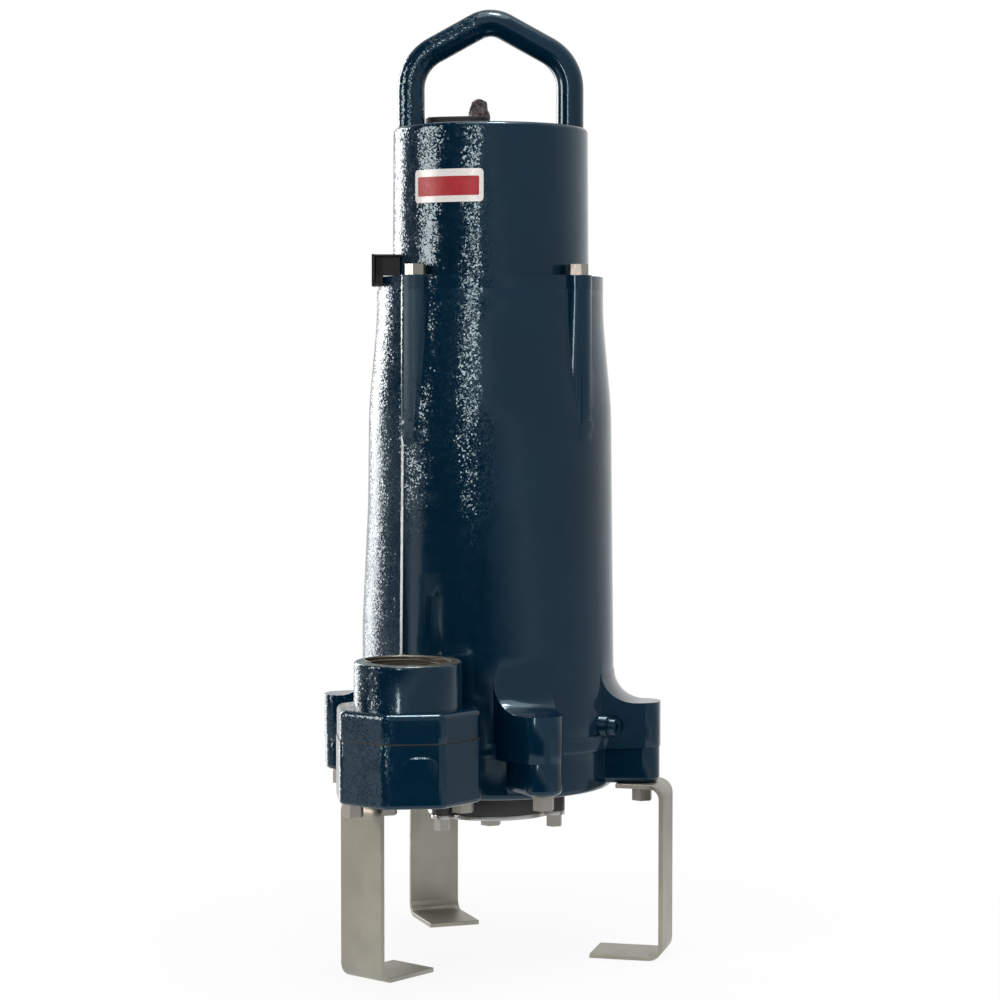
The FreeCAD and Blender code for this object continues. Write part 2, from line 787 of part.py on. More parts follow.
def top_cap():
    """The round cap with its bolting flange, spigot and the two handle sockets."""
    inner = size("cap_radius") - size("cap_wall")
    roof = CAP_TOP - size("cap_roof")
    spigot_low = HOUSING_TOP - size("spigot_depth")
    spigot = size("bracket_bore")
    groove = spigot - size("ring_section")
    groove_low = spigot_low + 2
    groove_high = groove_low + size("ring_section") + 0.6
    outline = [
        (0, CAP_TOP),
        (0, roof),
        (inner, roof),
        (inner, spigot_low),
        (spigot, spigot_low),
        (spigot, groove_low),
        (groove, groove_low),
        (groove, groove_high),
        (spigot, groove_high),
        (spigot, HOUSING_TOP),
        (size("neck_radius"), HOUSING_TOP),
        (size("neck_radius"), CAP_FLANGE_TOP),
        (size("cap_radius") + size("cap_draft"), CAP_FLANGE_TOP),
        (size("cap_radius"), CAP_TOP),
    ]
    shell = turned(outline, [(size("cap_radius"), CAP_TOP, size("cap_edge"))])
    solids = [shell]
    for angle in COLUMN_ANGLES:
        x, y = polar(size("column_circle"), angle)
        solids.append(cut(cylinder(size("column_radius"), size("cap_flange_thickness"), x, y, HOUSING_TOP),
                          [cylinder(size("cap_radius") - 2, size("cap_flange_thickness") + 2,
                                    z=HOUSING_TOP - 1)]))
    socket_floor = CAP_TOP - size("socket_depth")
    boss_low = socket_floor - size("socket_wall")
    core = cylinder(size("cap_radius") - 1, CAP_TOP - boss_low, z=boss_low)
    foot = size("handle_bar") / 2
    bosses = []
    sockets = []
    for half in (0, 180):
        x, y = polar(size("handle_half_span"), size("handle_angle") + half)
        bosses.append(cylinder(foot + size("socket_wall"), roof - boss_low + 1, x, y, boss_low))
        sockets.append(cylinder(foot + GAP, size("socket_depth") + 1, x, y, socket_floor))
    solids.append(common(fuse(bosses), core))
    tools = list(sockets)
    for angle in COLUMN_ANGLES:
        x, y = polar(size("column_circle"), angle)
        tools.append(cylinder(HOLE_RADIUS, size("cap_flange_thickness") + 2, x, y, HOUSING_TOP - 1))
    x, y = gland_place()
    tools.append(cylinder(size("gland_radius") - 2, size("cap_roof") + 2, x, y, roof - 1))
    piece("top_cap", cut(fuse(solids), tools))


def cap_seal():
    section = size("ring_section")
    item = doc.addObject("Part::Torus", "CapSeal")
    bind(item, Radius1=size("bracket_bore") - section / 2, Radius2=section / 2)
    place(item, z=HOUSING_TOP - size("spigot_depth") + 2 + section / 2 + 0.3)
    piece("cap_o_ring", item)


def casing_seal():
    section = size("ring_section")
    item = doc.addObject("Part::Torus", "CasingSeal")
    bind(item, Radius1=size("seal_groove"), Radius2=section / 2 - GAP)
    place(item, z=SPLIT - section / 2)
    piece("casing_o_ring", item)


def handle():
    """The round bar bent into a house-shaped bail, its feet standing in the cap's sockets."""
    half = size("handle_half_span").number
    foot = CAP_TOP.number - size("socket_depth").number
    shoulder = CAP_TOP.number + size("handle_shoulder").number
    apex = CAP_TOP.number + size("handle_apex").number
    corners = [(-half, foot), (-half, shoulder), (0, apex), (half, shoulder), (half, foot)]
    bends = [size("shoulder_bend").number, size("apex_bend").number, size("shoulder_bend").number]
    spine = bent_path([FreeCAD.Vector(x, 0, z) for x, z in corners], bends)
    circle = Part.Circle(FreeCAD.Vector(-half, 0, foot), FreeCAD.Vector(0, 0, 1), size("handle_bar").number / 2)
    bar = spine.makePipeShell([Part.Wire(circle.toShape())], True, False)
    item = shaped("Handle", bar)
    item.Placement = FreeCAD.Placement(
        FreeCAD.Vector(0, 0, 0), FreeCAD.Rotation(FreeCAD.Vector(0, 0, 1), size("handle_angle").number))
    piece("lifting_handle", item)


def bent_path(corners, bends):
    """Straight runs through the corners, with a tangent arc of the given radius at each bend."""
    edges = []
    start = corners[0]
    for index, radius in enumerate(bends, start=1):
        first, middle, last = bend_points(corners[index - 1], corners[index], corners[index + 1], radius)
        edges.append(Part.LineSegment(start, first).toShape())
        edges.append(Part.Arc(first, middle, last).toShape())
        start = last
    edges.append(Part.LineSegment(start, corners[-1]).toShape())
    return Part.Wire(edges)


def leg(label, angle, slide, turn=0):
    """A strip bent into a C: bolting flange on top, upright, and a foot turned inwards. Its
    slot lets it slide outwards and turn about its bolt."""
    outer = size("leg_reach") + slide
    sheet_gauge = size("leg_thickness")
    toe = outer - size("foot_length")
    flange_end = outer - size("leg_flange_length")
    inside = outer - sheet_gauge
    points = [
        (toe, 0),
        (outer, 0),
        (outer, LUG_UNDERSIDE),
        (flange_end, LUG_UNDERSIDE),
        (flange_end, LUG_UNDERSIDE - sheet_gauge),
        (inside, LUG_UNDERSIDE - sheet_gauge),
        (inside, sheet_gauge),
        (toe, sheet_gauge),
    ]
    body = doc.addObject("PartDesign::Body", "Leg")
    sketch = fixed_outline(body, "LegOutline", "XZ_Plane", points)
    pad = body.newObject("PartDesign::Pad", "Strip")
    pad.Profile = sketch
    pad.Midplane = True
    bind(pad, Length=size("leg_width"))
    body.Tip = pad
    doc.recompute()
    for x, inner_bend in ((outer, False), (inside, True)):
        base = body.Tip
        names = []
        for number, edge in enumerate(base.Shape.Edges, start=1):
            bounds = edge.BoundBox
            if abs(bounds.XMax - x.number) < 1e-4 and bounds.XLength < 1e-4 and bounds.ZLength < 1e-4:
                names.append("Edge%d" % number)
        fillet = body.newObject("PartDesign::Fillet", "Bend")
        fillet.Base = (base, names)
        bind(fillet, Radius=size("leg_bend") if inner_bend else size("leg_bend") + sheet_gauge)
        body.Tip = fillet
        doc.recompute()
    slot_centre = outer - size("leg_slot_offset")
    half = size("leg_slot_travel") / 2
    low = LUG_UNDERSIDE - sheet_gauge - 1
    deep = sheet_gauge + 2
    slot = [
        cylinder(HOLE_RADIUS, deep, slot_centre - half, 0, low),
        cylinder(HOLE_RADIUS, deep, slot_centre + half, 0, low),
        box(half * 2, HOLE_RADIUS * 2, deep, slot_centre - half, -HOLE_RADIUS, low),
    ]
    item = cut(body, slot)
    bolt_x, bolt_y = polar(size("lug_circle"), angle)
    swung_x, swung_y = polar(size("lug_circle"), angle + as_size(turn))
    piece(label, place(item, bolt_x - swung_x, bolt_y - swung_y, 0, angle + as_size(turn)))


def lower_bolts():
    """Bolts from below: three through plain lugs, two through legs, one into the boss."""
    washer = 1.6
    flats = size("bolt_size") * 13 / 8
    head = size("bolt_size") * 1.1
    washer_radius = size("bolt_size")
    plain = []
    plain_washers = []
    for angle in CASING_BOLT_ANGLES:
        x, y = polar(size("lug_circle"), angle)
        seat = PLAIN_UNDERSIDE - washer
        plain.append(bolt(BOLT_RADIUS, seat, SPLIT - seat + size("thread_depth") - 2, x, y, head, flats))
        plain_washers.append(ring(washer_radius, HOLE_RADIUS, washer, x, y, seat))
    piece("casing_bolts", group(plain))
    piece("casing_washers", group(plain_washers))
    legs = []
    leg_washers = []
    seat = LUG_UNDERSIDE - size("leg_thickness") - washer
    for angle in LEG_BOLT_ANGLES + (FRONT_LEG_ANGLE,):
        x, y = polar(size("lug_circle"), angle)
        if angle == FRONT_LEG_ANGLE:
            length = LUG_UNDERSIDE - seat + size("thread_depth") * 0.7 - 2
        else:
            length = SPLIT - seat + size("thread_depth") - 2
        legs.append(bolt(BOLT_RADIUS, seat, length, x, y, head, flats))
        leg_washers.append(ring(washer_radius, HOLE_RADIUS, washer, x, y, seat))
    piece("leg_bolts", group(legs))
    piece("leg_washers", group(leg_washers))


def cap_bolts():
    flats = size("bolt_size") * 13 / 8
    head_height = size("bolt_size") * 0.95
    items = []
    for angle in COLUMN_ANGLES:
        x, y = polar(size("column_circle"), angle)
        length = size("cap_flange_thickness") + size("thread_depth") - 2
        head = prism(6, flats, head_height, x, y, CAP_FLANGE_TOP, angle)
        shank = cylinder(BOLT_RADIUS, length, x, y, CAP_FLANGE_TOP - length)
        items.append(fuse([head, shank]))
    piece("cap_bolts", group(items))


def discharge():
    """The eight-sided discharge flange with its threaded hub, its gasket and its two bolts."""
    flats = size("discharge_flats") - 1
    clear = size("ring_radius") + size("casting_gap")
    plate = rounded_prism(flats, size("discharge_flange_thickness"), *DISCHARGE, DISCHARGE_SEAT,
                          size("discharge_edge"))
    hub_length = HUB_TOP - DISCHARGE_SEAT
    hub = place(turned([(0, 0), (size("hub_radius"), 0), (size("hub_radius"), hub_length, size("hub_edge")),
                        (0, hub_length)]), *DISCHARGE, DISCHARGE_SEAT)
    body = fuse([cut(plate, [cylinder(clear, size("discharge_flange_thickness") + 2, z=DISCHARGE_SEAT - 1)]),
                 hub])
    thread_low = HUB_TOP - size("pipe_thread_length")
    tools = [
        cylinder(size("pipe_thread_radius"), size("pipe_thread_length") + 1, *DISCHARGE, thread_low),
        cylinder(size("discharge_bore"), thread_low - DISCHARGE_SEAT + 2, *DISCHARGE, DISCHARGE_SEAT - 1),
    ]
    depth = size("discharge_flange_thickness") - 5
    for x, y in discharge_bolt_places():
        tools.append(cylinder(BOLT_RADIUS + GAP, depth + 1, x, y, DISCHARGE_SEAT - 1))
    piece("discharge_flange", cut(body, tools))
    sheet_piece = cut(rounded_prism(flats, size("gasket_thickness"), *DISCHARGE, BOSS_TOP),
                      [cylinder(clear, 4, z=BOSS_TOP - 1),
                       cylinder(size("discharge_bore"), 4, *DISCHARGE, BOSS_TOP - 1)]
                      + [cylinder(HOLE_RADIUS, 4, x, y, BOSS_TOP - 1) for x, y in discharge_bolt_places()])
    piece("discharge_gasket", sheet_piece)
    items = []
    for x, y in discharge_bolt_places():
        length = size("boss_height") + size("gasket_thickness") + depth - 2
        items.append(bolt(BOLT_RADIUS, BOSS_BOTTOM, length, x, y, size("bolt_size") * 1.3,
                          size("bolt_size") * 13 / 8))
    piece("discharge_bolts", group(items))


def eared_outline(height, z):
    """The outline that the suction ring and the cutter plate share: a disc with three ears."""
    solids = [cylinder(size("suction_ring_radius"), height, z=z)]
    for x, y in ear_places():
        solids.append(cylinder(size("ear_radius"), height, x, y, z))
    return fuse(solids)


def suction_end():
    """The black spacer ring, the slotted cutter plate and the three bolts that hold them."""
    small = size("small_bolt") / 2
    holes = [cylinder(small + 0.3, size("suction_ring_height") + 10, x, y, PLATE_BOTTOM - 2)
             for x, y in ear_places()]
    ring_bore = cylinder(size("suction_radius"), size("suction_ring_height") + 2, z=PLATE_TOP - 1)
    piece("suction_ring", cut(eared_outline(size("suction_ring_height"), PLATE_TOP), [ring_bore] + holes))
    notches = []
    for index in range(12):
        notches.append(radial_box(size("cutter_bore") - 3, size("cutter_bore") + size("cutter_notch_depth"),
                                  size("cutter_notch"), size("cutter_plate_thickness") + 2,
                                  PLATE_BOTTOM - 1, 30 * index))
    plate_holes = [cylinder(small + 0.3, size("cutter_plate_thickness") + 2, x, y, PLATE_BOTTOM - 1)
                   for x, y in ear_places()]
    plate_bore = cylinder(size("cutter_bore"), size("cutter_plate_thickness") + 2, z=PLATE_BOTTOM - 1)
    plate = cut(eared_outline(size("cutter_plate_thickness"), PLATE_BOTTOM),
                [plate_bore] + notches + plate_holes)
    piece("cutter_plate", plate)
    bolts = []
    for x, y in ear_places():
        length = SKIRT - PLATE_BOTTOM + size("floor_thickness") - 3
        bolts.append(bolt(small, PLATE_BOTTOM, length, x, y, size("small_bolt") * 1.4,
                          size("small_bolt") * 10 / 6))
    piece("cutter_plate_bolts", group(bolts))


def rotary_cutter():
    """The three-bladed cutter that turns inside the plate's bore, and the screw that holds it."""
    low = PLATE_BOTTOM - 3
    reach = size("cutter_bore") - size("spin_gap")
    tip = cylinder(reach, size("cutter_height"), z=low)
    blades = [radial_box(2, reach + 2, size("cutter_blade"), size("cutter_height"), low, 120 * index)
              for index in range(3)]
    hub = cylinder(size("cutter_hub"), size("cutter_height"), z=low)
    bore = cylinder(size("cutter_shaft") + GAP / 2, size("cutter_height") + 2, z=low - 1)
    piece("rotary_cutter", cut(fuse([common(fuse(blades), tip), hub]), [bore]))
    screw_head = prism(6, 13, 5, z=low - 7)
    screw_stem = cylinder(3, 18, z=low - 2)
    piece("cutter_screw", fuse([screw_head, screw_stem]))
    piece("cutter_washer", ring(9.5, 3 + GAP, 2, z=low - 2))


def shaft():
    """The stepped shaft, from the cutter seat up to the upper bearing."""
    low = PLATE_BOTTOM - 3
    cutter_high = low + size("cutter_height")
    hub_low = SPLIT - size("impeller_gap") - size("impeller_disc") - size("impeller_vane")
    outline = [
        (0, low),
        (size("cutter_shaft"), low),
        (size("cutter_shaft"), cutter_high),
        (size("impeller_shaft"), cutter_high),
        (size("impeller_shaft"), SPLIT),
        (size("seal_shaft"), SPLIT),
        (size("seal_shaft"), LOWER_BEARING_LOW),
        (size("lower_bearing_bore"), LOWER_BEARING_LOW),
        (size("lower_bearing_bore"), WEB_HIGH),
        (size("rotor_shaft"), WEB_HIGH),
        (size("rotor_shaft"), UPPER_BEARING_LOW - 6),
        (size("upper_bearing_bore"), UPPER_BEARING_LOW - 6),
        (size("upper_bearing_bore"), UPPER_BEARING_LOW + size("upper_bearing_width") + 2),
        (0, UPPER_BEARING_LOW + size("upper_bearing_width") + 2),
    ]
    thread = cylinder(3 + GAP, 17, z=low - 1)
    keyway = box(4, 4.2, 12, size("impeller_shaft") - 2, -2.1, hub_low + 2)
    piece("shaft", cut(turned(outline), [thread, keyway]))
    piece("impeller_key", box(4 - GAP, 4, 12 - GAP * 2,
                              size("impeller_shaft") - 2 + GAP, -2, hub_low + 2 + GAP))


def impeller():
    """A semi-open impeller: back disc, hub and six swept vanes that face the suction."""
    top = SPLIT - size("impeller_gap")
    disc_low = top - size("impeller_disc")
    vane_low = disc_low - size("impeller_vane")
    disc = cylinder(size("impeller_radius"), size("impeller_disc"), z=disc_low)
    hub = cylinder(size("impeller_hub"), top - vane_low, z=vane_low)
    outer = size("impeller_radius").number - 1
    inner = size("impeller_hub").number - 1
    thickness = size("vane_thickness").number
    blade = swept_vane(inner, outer, thickness, vane_low.number, size("impeller_vane").number)
    vanes = []
    for index in range(6):
        copy = blade.copy()
        copy.rotate(FreeCAD.Vector(0, 0, 0), FreeCAD.Vector(0, 0, 1), 60 * index)
        vanes.append(shaped("Vane", copy))
    bore = cylinder(size("impeller_shaft") + GAP / 2, top - vane_low + 2, z=vane_low - 1)
    slot = box(4, 4.2, 13, size("impeller_shaft") - 1.5, -2.1, vane_low + 1.5)
    piece("impeller", cut(fuse([disc, hub] + vanes), [bore, slot]))


def swept_vane(inner, outer, thickness, low, height):
    """One backward-swept vane between two radii, bounded by two arcs."""
    sweep = math.radians(55)
    spread = thickness / outer

    def point(radius, angle):
        return FreeCAD.Vector(radius * math.cos(angle), radius * math.sin(angle), low)

    middle = (inner + outer) / 2
    lead = [point(inner, 0), point(middle, sweep * 0.36), point(outer, sweep)]
    trail = [point(inner, thickness / inner), point(middle, sweep * 0.36 + thickness / middle),
             point(outer, sweep + spread)]
    edges = [
        Part.Arc(*lead).toShape(),
        Part.LineSegment(lead[2], trail[2]).toShape(),
        Part.Arc(*reversed(trail)).toShape(),
        Part.LineSegment(trail[0], lead[0]).toShape(),
    ]
    return Part.Face(Part.Wire(edges)).extrude(FreeCAD.Vector(0, 0, height + 1))


def seals():
    """The seal plate and the back-to-back pair of mechanical seals in the oil chamber."""
    plate_top = SPLIT + size("seal_plate_thickness")
    seat_length = size("seal_seat_length")
    seat_floor = plate_top - seat_length + 1
    outline = [
        (size("seal_shaft") + 1, SPLIT),
        (size("seal_recess"), SPLIT),
        (size("seal_recess"), plate_top),
        (size("seal_seat_radius") + GAP, plate_top),
        (size("seal_seat_radius") + GAP, seat_floor),
        (size("seal_shaft") + 1, seat_floor),
    ]
    piece("seal_plate", turned(outline))
    seat_bore = size("seal_shaft") + 0.6
    upper_seat_top = LOWER_BEARING_LOW - 3
    upper_seat_low = upper_seat_top - seat_length
    piece("lower_seal_seat", ring(size("seal_seat_radius"), seat_bore, seat_length, z=seat_floor))
    piece("upper_seal_seat", ring(size("seal_seat_radius"), seat_bore, seat_length, z=upper_seat_low))
    heads_low = seat_floor + seat_length + GAP
    heads_high = upper_seat_low - GAP
    head_length = (heads_high - heads_low) / 2 - 3
    grip = size("seal_shaft") + GAP / 2
    piece("lower_seal_head", ring(size("seal_head_radius"), grip, head_length, z=heads_low))
    piece("upper_seal_head", ring(size("seal_head_radius"), grip, head_length, z=heads_high - head_length))
    spring_low = heads_low + head_length
    spring_length = heads_high - head_length - spring_low
    piece("seal_spring", ring(size("seal_head_radius") - 1.5, size("seal_head_radius") - 3.5, spring_length,
                              z=spring_low))


def ball_bearing(label, outer, inner, width, ball, low, count):
    """A deep-groove ball bearing: outer race, inner race, balls and the cage that spaces them."""
    pitch = (outer + inner) / 2
    middle = as_size(low) + width / 2
    race_gap = 0.05
    outer_race = ring(outer, pitch + ball * 0.6, width, z=low)
    inner_race = ring(pitch - ball * 0.6, inner, width, z=low)
    for name, race in (("outer_race", outer_race), ("inner_race", inner_race)):
        groove = doc.addObject("Part::Torus", "Groove")
        bind(groove, Radius1=pitch, Radius2=ball + race_gap)
        place(groove, z=middle)
        piece("%s_%s" % (label, name), cut(race, [groove]))
    turns = [360 / count * (index + 0.25) for index in range(count)]
    balls = [sphere(ball, *polar(pitch, turn), middle) for turn in turns]
    piece("%s_balls" % label, group(balls))
    window = (ball + race_gap * 2) * 2
    windows = [radial_box(pitch - ball, pitch + ball, window, window, middle - window / 2, turn)
               for turn in turns]
    band = ring(pitch + ball * 0.2, pitch - ball * 0.2, ball * 2.5, z=middle - ball * 1.25)
    piece("%s_cage" % label, cut(band, windows))


def sphere(radius, x, y, z):
    item = doc.addObject("Part::Sphere", "Ball")
    bind(item, Radius=radius)
    return place(item, x, y, z)


def bearings():
    ball_bearing("lower_bearing", size("lower_bearing_radius"), size("lower_bearing_bore") + GAP / 2,
                 size("lower_bearing_width"), size("lower_ball"), LOWER_BEARING_LOW, 8)
    ball_bearing("upper_bearing", size("upper_bearing_radius"), size("upper_bearing_bore") + GAP / 2,
                 size("upper_bearing_width"), size("upper_ball"), UPPER_BEARING_LOW, 7)


def upper_bracket():
    """The dished bracket that carries the upper bearing and is clamped by the cap's spigot."""
    low = BRACKET_SEAT
    floor = low + 8
    bearing_low = UPPER_BEARING_LOW
    bearing_high = bearing_low + size("upper_bearing_width")
    bearing = size("upper_bearing_radius") + GAP
    rim_top = HOUSING_TOP - size("spigot_depth")
    outline = [
        (size("upper_bearing_radius") - 4, low),
        (size("bracket_bore"), low),
        (size("bracket_bore"), rim_top),
        (size("bracket_bore") - 5, rim_top),
        (size("bracket_bore") - 5, floor),
        (bearing + 7, floor),
        (bearing + 7, bearing_high),
        (bearing, bearing_high),
        (bearing, bearing_low),
        (size("upper_bearing_radius") - 4, bearing_low),
    ]
    piece("upper_bearing_bracket", turned(outline))
    can = size("capacitor_radius")
    can_circle = bearing + 7 + can + 1
    can_top = floor + size("capacitor_length")
    terminals = [cylinder(size("terminal_radius"), size("terminal_rise"), *polar(can_circle, angle), can_top)
                 for angle in (90, 110)]
    can_body = cylinder(can, size("capacitor_length"), *polar(can_circle, 100), floor)
    piece("start_capacitor", fuse([can_body] + terminals))
    length = size("block_length")
    rib = size("block_rib")
    start = 10
    front = -size("block_offset")
    pitch = (length - rib) / 4
    ribs = [box(rib, size("block_rib_depth"), size("block_height") + size("block_rib_rise"),
                start + pitch * (index + 0.5), front + 3, floor) for index in range(4)]
    block = box(length, size("block_width"), size("block_height"), start, front, floor)
    piece("terminal_block", fuse([block] + ribs))


def motor():
    """Stator core, its two end windings, and the rotor on the shaft."""
    low = STACK_LOW
    length = size("stack_length")
    stator = size("motor_bore")
    piece("stator_core", ring(stator, size("stator_bore"), length, z=low))
    coil_inner = size("stator_bore") + 3
    coil_outer = coil_inner + size("winding_wall")
    piece("stator_windings", group([
        ring(coil_outer, coil_inner, size("winding_length"), z=low - size("winding_length")),
        ring(coil_outer, coil_inner, size("winding_length"), z=low + length),
    ]))
    core = ring(size("stator_bore") - size("air_gap"), size("rotor_shaft") + GAP / 2, length, z=low)
    end_rings = [ring(size("stator_bore") - 3, size("stator_bore") - 12, 8, z=low - 8),
                 ring(size("stator_bore") - 3, size("stator_bore") - 12, 8, z=low + length)]
    piece("rotor_core", fuse([core] + end_rings))


def gland_place():
    """The cable gland's centre on the cap's roof, in the cover's right half."""
    along = polar(-size("gland_offset"), size("handle_angle"))
    return polar(size("cover_setback"), size("handle_angle") + 90, along)


def cable_inlet():
    """The low oval cover on the roof, its gland, the grommet inside and two screws."""
    angle = size("handle_angle")
    thickness = size("cover_thickness")
    width = size("cover_width")
    straight = size("cover_length") - width
    middle = polar(-size("cover_offset"), angle)
    middle = polar(size("cover_setback"), angle + 90, middle)
    left = polar(-(straight / 2), angle, middle)
    right = polar(straight / 2, angle, middle)
    corner = polar(-(width / 2), angle + 90, left)
    cover = fuse([
        cylinder(width / 2, thickness, *left, CAP_TOP),
        cylinder(width / 2, thickness, *right, CAP_TOP),
        box(straight, width, thickness, *corner, CAP_TOP, angle),
    ])
    x, y = gland_place()
    seat = CAP_TOP + thickness
    opening = cylinder(size("gland_radius") - 2, thickness + 2, x, y, CAP_TOP - 1)
    screws = [polar(offset, angle, middle) for offset in (-18, -6)]
    screw_holes = [cylinder(size("inlet_screw") + 0.1, thickness + 2, sx, sy, CAP_TOP - 1) for sx, sy in screws]
    piece("inlet_cover", cut(cover, [opening] + screw_holes))
    low_screws = []
    for sx, sy in screws:
        head = cylinder(size("inlet_screw_head"), size("inlet_screw_rise"), sx, sy, seat)
        low_screws.append(fuse([head, cylinder(size("inlet_screw"), thickness, sx, sy, CAP_TOP)]))
    piece("inlet_screws", group(low_screws))
    radius = size("gland_radius")
    rise = size("gland_height") - thickness
    nut_height = rise * 0.35
    collar = prism(6, radius * 2 - 1, nut_height, x, y, seat, angle)
    barrel = cylinder(radius - 1, rise - radius + 3, x, y, seat)
    dome = doc.addObject("Part::Sphere", "Dome")
    bind(dome, Radius=radius - 1)
    place(dome, x, y, seat + rise - radius + 1)
    stem = cylinder(radius - 2 - GAP, thickness + size("cap_roof"), x, y, CAP_TOP - size("cap_roof"))
    stem_low = CAP_TOP - size("cap_roof")
    grommet_top = seat + rise * 0.8
    grommet_radius = size("gland_bore") + size("grommet_wall")
    bore = cylinder(size("gland_bore"), size("gland_height") + size("cap_roof") + 4, x, y, stem_low - 1)
    pocket = cylinder(grommet_radius, grommet_top - stem_low + 1, x, y, stem_low - 1)
    piece("cable_gland", cut(fuse([collar, barrel, dome, stem]), [bore, pocket]))
    piece("gland_grommet", ring(grommet_radius - GAP, size("gland_bore"), grommet_top - seat, x, y, seat))


def name_plate():
    """The bare plate that follows the cap's round wall."""
    low = HOUSING_TOP + size("plate_low")
    radius = size("cap_radius") + size("cap_draft")
    face = ring(radius + size("plate_thickness"), radius, size("plate_height"), z=low)
    wedge = doc.addObject("Part::Cylinder", "Sector")
    bind(wedge, Radius=radius + 5, Height=size("plate_height") + 2, Angle=size("plate_sweep"))
    place(wedge, z=low - 1, turn=size("plate_angle") - size("plate_sweep") / 2)
    piece("name_plate", common(face, wedge))


def cord_bracket():
    """The black sheet-metal clip on the cap's flange, open to the front and low at its back."""
    angle = size("bracket_angle")
    gauge = size("bracket_sheet")
    near = size("cap_radius") + size("cap_draft") + GAP
    far = near + size("bracket_depth")
    width = size("bracket_width")
    low = CAP_FLANGE_TOP
    high = low + size("bracket_height")
    base = radial_box(near, far, width, gauge, low, angle)
    outer = radial_box(far - gauge, far, width, high - low, low, angle)
    roof = radial_box(near, far, width, gauge, high - gauge, angle)
    back_x, back_y = polar(-(width / 2), angle + 90, polar(near, angle))
    back_low = low + size("bracket_opening")
    back = box(size("bracket_depth"), gauge, high - back_low, back_x, back_y, back_low, angle)
    piece("cord_bracket", fuse([base, outer, roof, back]))


volute_casing()
motor_housing()
oil_plug()
top_cap()
cap_seal()
casing_seal()
handle()
leg("right_leg", 0, -size("leg_slide"), size("leg_turn"))
leg("rear_leg", 120, size("leg_slide"))
leg("front_leg", 240, size("leg_slide"))
lower_bolts()
cap_bolts()
discharge()
suction_end()
rotary_cutter()
shaft()
impeller()
seals()
bearings()
upper_bracket()
motor()
cable_inlet()
name_plate()
cord_bracket()
doc.recompute()

failed = [item.Label for item in doc.Objects if "Invalid" in item.State or "Error" in item.State]
if failed:
    raise RuntimeError("failed objects: %s" % ", ".join(failed))
for item in PIECES:
    if item.Shape.isNull() or not item.Shape.isValid():
        raise RuntimeError("bad shape: %s" % item.Label)

os.makedirs("parts", exist_ok=True)
for item in PIECES:
    item.Shape.exportStep("parts/%s.step" % item.Label)
print("pieces", len(PIECES), "solids", sum(len(item.Shape.Solids) for item in PIECES))
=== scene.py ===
"""Looks for the submersible centrifugal pump: glossy navy enamel over cast iron, satin
stainless legs and fasteners, a rough grey gland and a bare plate on the cap."""
import math

import bmesh
import bpy
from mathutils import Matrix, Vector, noise


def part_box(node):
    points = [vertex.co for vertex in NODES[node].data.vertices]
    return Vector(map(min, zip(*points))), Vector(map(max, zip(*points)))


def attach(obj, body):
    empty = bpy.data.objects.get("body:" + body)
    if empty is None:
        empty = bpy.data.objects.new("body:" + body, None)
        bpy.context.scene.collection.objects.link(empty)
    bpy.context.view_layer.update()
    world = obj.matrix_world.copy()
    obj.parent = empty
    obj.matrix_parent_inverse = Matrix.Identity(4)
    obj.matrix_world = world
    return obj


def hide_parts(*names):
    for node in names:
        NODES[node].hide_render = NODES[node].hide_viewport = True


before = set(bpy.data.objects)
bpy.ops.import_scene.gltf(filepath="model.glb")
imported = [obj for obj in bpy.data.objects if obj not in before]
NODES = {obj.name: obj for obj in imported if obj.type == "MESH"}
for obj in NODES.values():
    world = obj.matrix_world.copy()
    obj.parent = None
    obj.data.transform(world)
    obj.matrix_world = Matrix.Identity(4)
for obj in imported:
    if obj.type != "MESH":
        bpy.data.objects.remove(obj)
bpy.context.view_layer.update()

# The camera as the photograph was taken, in metres and degrees, its lens in millimetres
CAMERA_TURN = 10.7
CAMERA_DISTANCE = 1.9025
CAMERA_HEIGHT = 0.4164
CAMERA_SIDE = 0.00657
CAMERA_PITCH = 2.84
CAMERA_LENS = 96.45
SENSOR = 36.0

# Directions as the camera sees them, the first two level
RIGHT = Vector((math.cos(math.radians(CAMERA_TURN)), math.sin(math.radians(CAMERA_TURN)), 0))
TOWARDS = Vector((RIGHT.y, -RIGHT.x, 0))
UP = Vector((0, 0, 1))


def make_camera():
    data = bpy.data.cameras.new("camera")
    data.lens = CAMERA_LENS
    data.sensor_width = SENSOR
    camera = bpy.data.objects.new("camera", data)
    bpy.context.scene.collection.objects.link(camera)
    camera.location = TOWARDS * CAMERA_DISTANCE + RIGHT * CAMERA_SIDE + UP * CAMERA_HEIGHT
    pitch = math.radians(CAMERA_PITCH)
    look = -TOWARDS * math.cos(pitch) - UP * math.sin(pitch)
    camera.rotation_euler = look.to_track_quat("-Z", "Y").to_euler()
    bpy.context.scene.camera = camera


def around(angle, distance, height):
    """A place at an angle from the camera's side of the object, positive to the right."""
    turn = math.radians(angle)
    return (TOWARDS * math.cos(turn) + RIGHT * math.sin(turn)) * distance + UP * height


